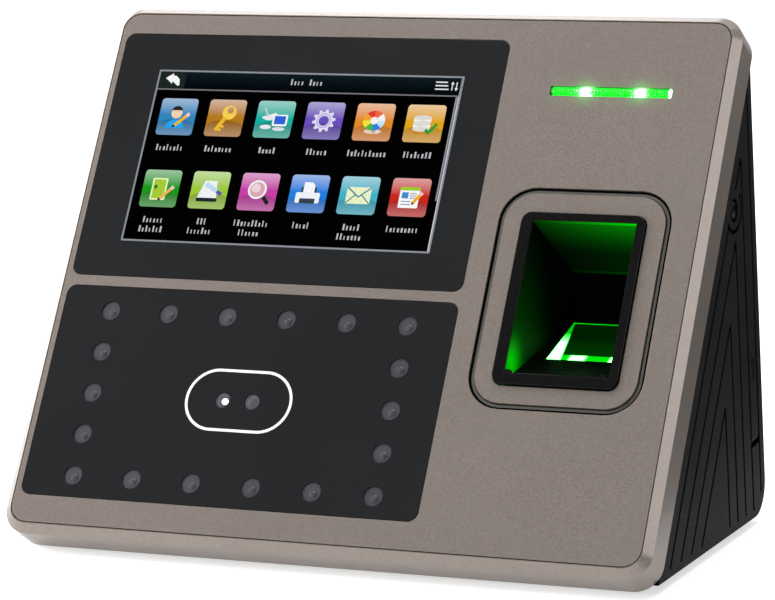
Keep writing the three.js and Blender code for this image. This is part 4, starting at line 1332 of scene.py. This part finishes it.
def makeArrow():
    bm = bmesh.new()
    for end in (*cover["barbs"], cover["tail"]):
        addPrism(bm, barLoop(*cover["tip"], *end, cover["stroke"]), 95.9, 96.14)
    pieceFrom(bm, "cover_arrow", sideFrame, arrowPlastic, "usb_cover")


def makeButton():
    # a dished cap inside a raised rim
    low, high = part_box("power_button")
    middle = (low + high) / 2
    bm = bmesh.new()
    flange, stem, cap = 4.3, 1.4, 2.5
    depth = (high.x - low.x) / mm
    addLathe(
        bm,
        [
            (0, 0), (stem, 0), (stem, 1.1), (flange, 1.1), (flange, 2.2), (cap, 2.3), (cap, depth - 0.55),
            (cap - 0.18, depth - 0.14), (cap - 0.5, depth), (cap - 0.75, depth - 0.12), (1.1, depth - 0.3),
            (0, depth - 0.36)],
        48)
    turn = placeFrame(
        Vector((low.x, middle.y, middle.z)), Vector((0, 1, 0)), Vector((0, 0, 1)), Vector((1, 0, 0)))
    pieceFrom(
        bm, "power_button_fine", turn, satinPlastic, "power_button",
        ["power_button"])


def makeFeet():
    # a turned rubber foot with a dished sole and two shallow rings
    for i in range(1, 5):
        low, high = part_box(f"foot_{i}")
        middle = (low + high) / 2
        radius = (high.x - low.x) / 2 / mm
        tall = (high.z - low.z) / mm
        bm = bmesh.new()
        addLathe(
            bm,
            [
                (0, 0.25), (2.2, 0.2), (3.2, 0.0), (4.3, 0.0), (radius - 0.25, 0.2), (radius, 0.6),
                (radius, 1.1), (radius - 0.2, 1.25), (radius - 0.2, 1.45), (radius, 1.6),
                (radius, tall - 0.2), (radius - 0.2, tall), (0, tall)],
            40)
        place = placeFrame(
            Vector((middle.x, middle.y, low.z)), Vector((1, 0, 0)), Vector((0, 1, 0)), Vector((0, 0, 1)))
        pieceFrom(bm, f"foot_{i}_fine", place, footRubber, "case", [f"foot_{i}"])


arrowPlastic = mouldedPlastic(
    "blackMouldedMark", "#020202", "#040404", 0.5, 0.8, 0.01, **{"Specular IOR Level": 0.03})
finishNode("rear_housing", housingPlastic, 0.28, 2, 42)
finishNode("usb_cover", housingPlastic, 0.25, 2, 42)
makeArrow()
makeButton()
makeFeet()
print("housing made")

# everything else keeps its CAD shape with rounded edges
others = {
    "touch_sensor": (glassBlack, 0.1), "lcd_module": (steel, 0.2), "lcd_bracket": (satinPlastic, 0.2),
    "ir_led_mask": (satinPlastic, 0.15), "ir_led_board": (boardGreen, 0.1),
    "infrared_camera": (satinPlastic, 0.15), "colour_camera": (satinPlastic, 0.15),
    "camera_board": (boardGreen, 0.1), "status_light_board": (boardGreen, 0.1),
    "main_board": (boardGreen, 0.15), "processor_module": (steel, 0.3), "clock_battery": (steel, 0.3),
    "card_antenna_board": (boardGreen, 0.1), "backup_battery": (blueFilm, 0.8), "speaker": (steel, 0.3),
    "display_ribbon": (ribbonAmber, 0.05), "sensor_ribbon": (ribbonAmber, 0.05),
    "connector_board": (boardGreen, 0.15), "network_socket": (steel, 0.2),
    "terminal_block": (greenPolyester, 0.08), "power_inlet": (satinPlastic, 0.25),
    "power_switch": (whiteNylon, 0.2), "usb_cover_pin": (steel, 0.1), "usb_socket": (steel, 0.15),
    "tamper_plunger": (whiteNylon, 0.2), "tamper_switch": (satinPlastic, 0.25), "wall_plate": (steel, 0.2),
    "case_screw_1": (steel, 0.15), "case_screw_2": (steel, 0.15), "case_screw_3": (steel, 0.15),
    "case_screw_4": (steel, 0.15)}
for nodeName, (nodeMaterial, edge) in others.items():
    finishNode(nodeName, nodeMaterial, edge)
print("inner pieces made")
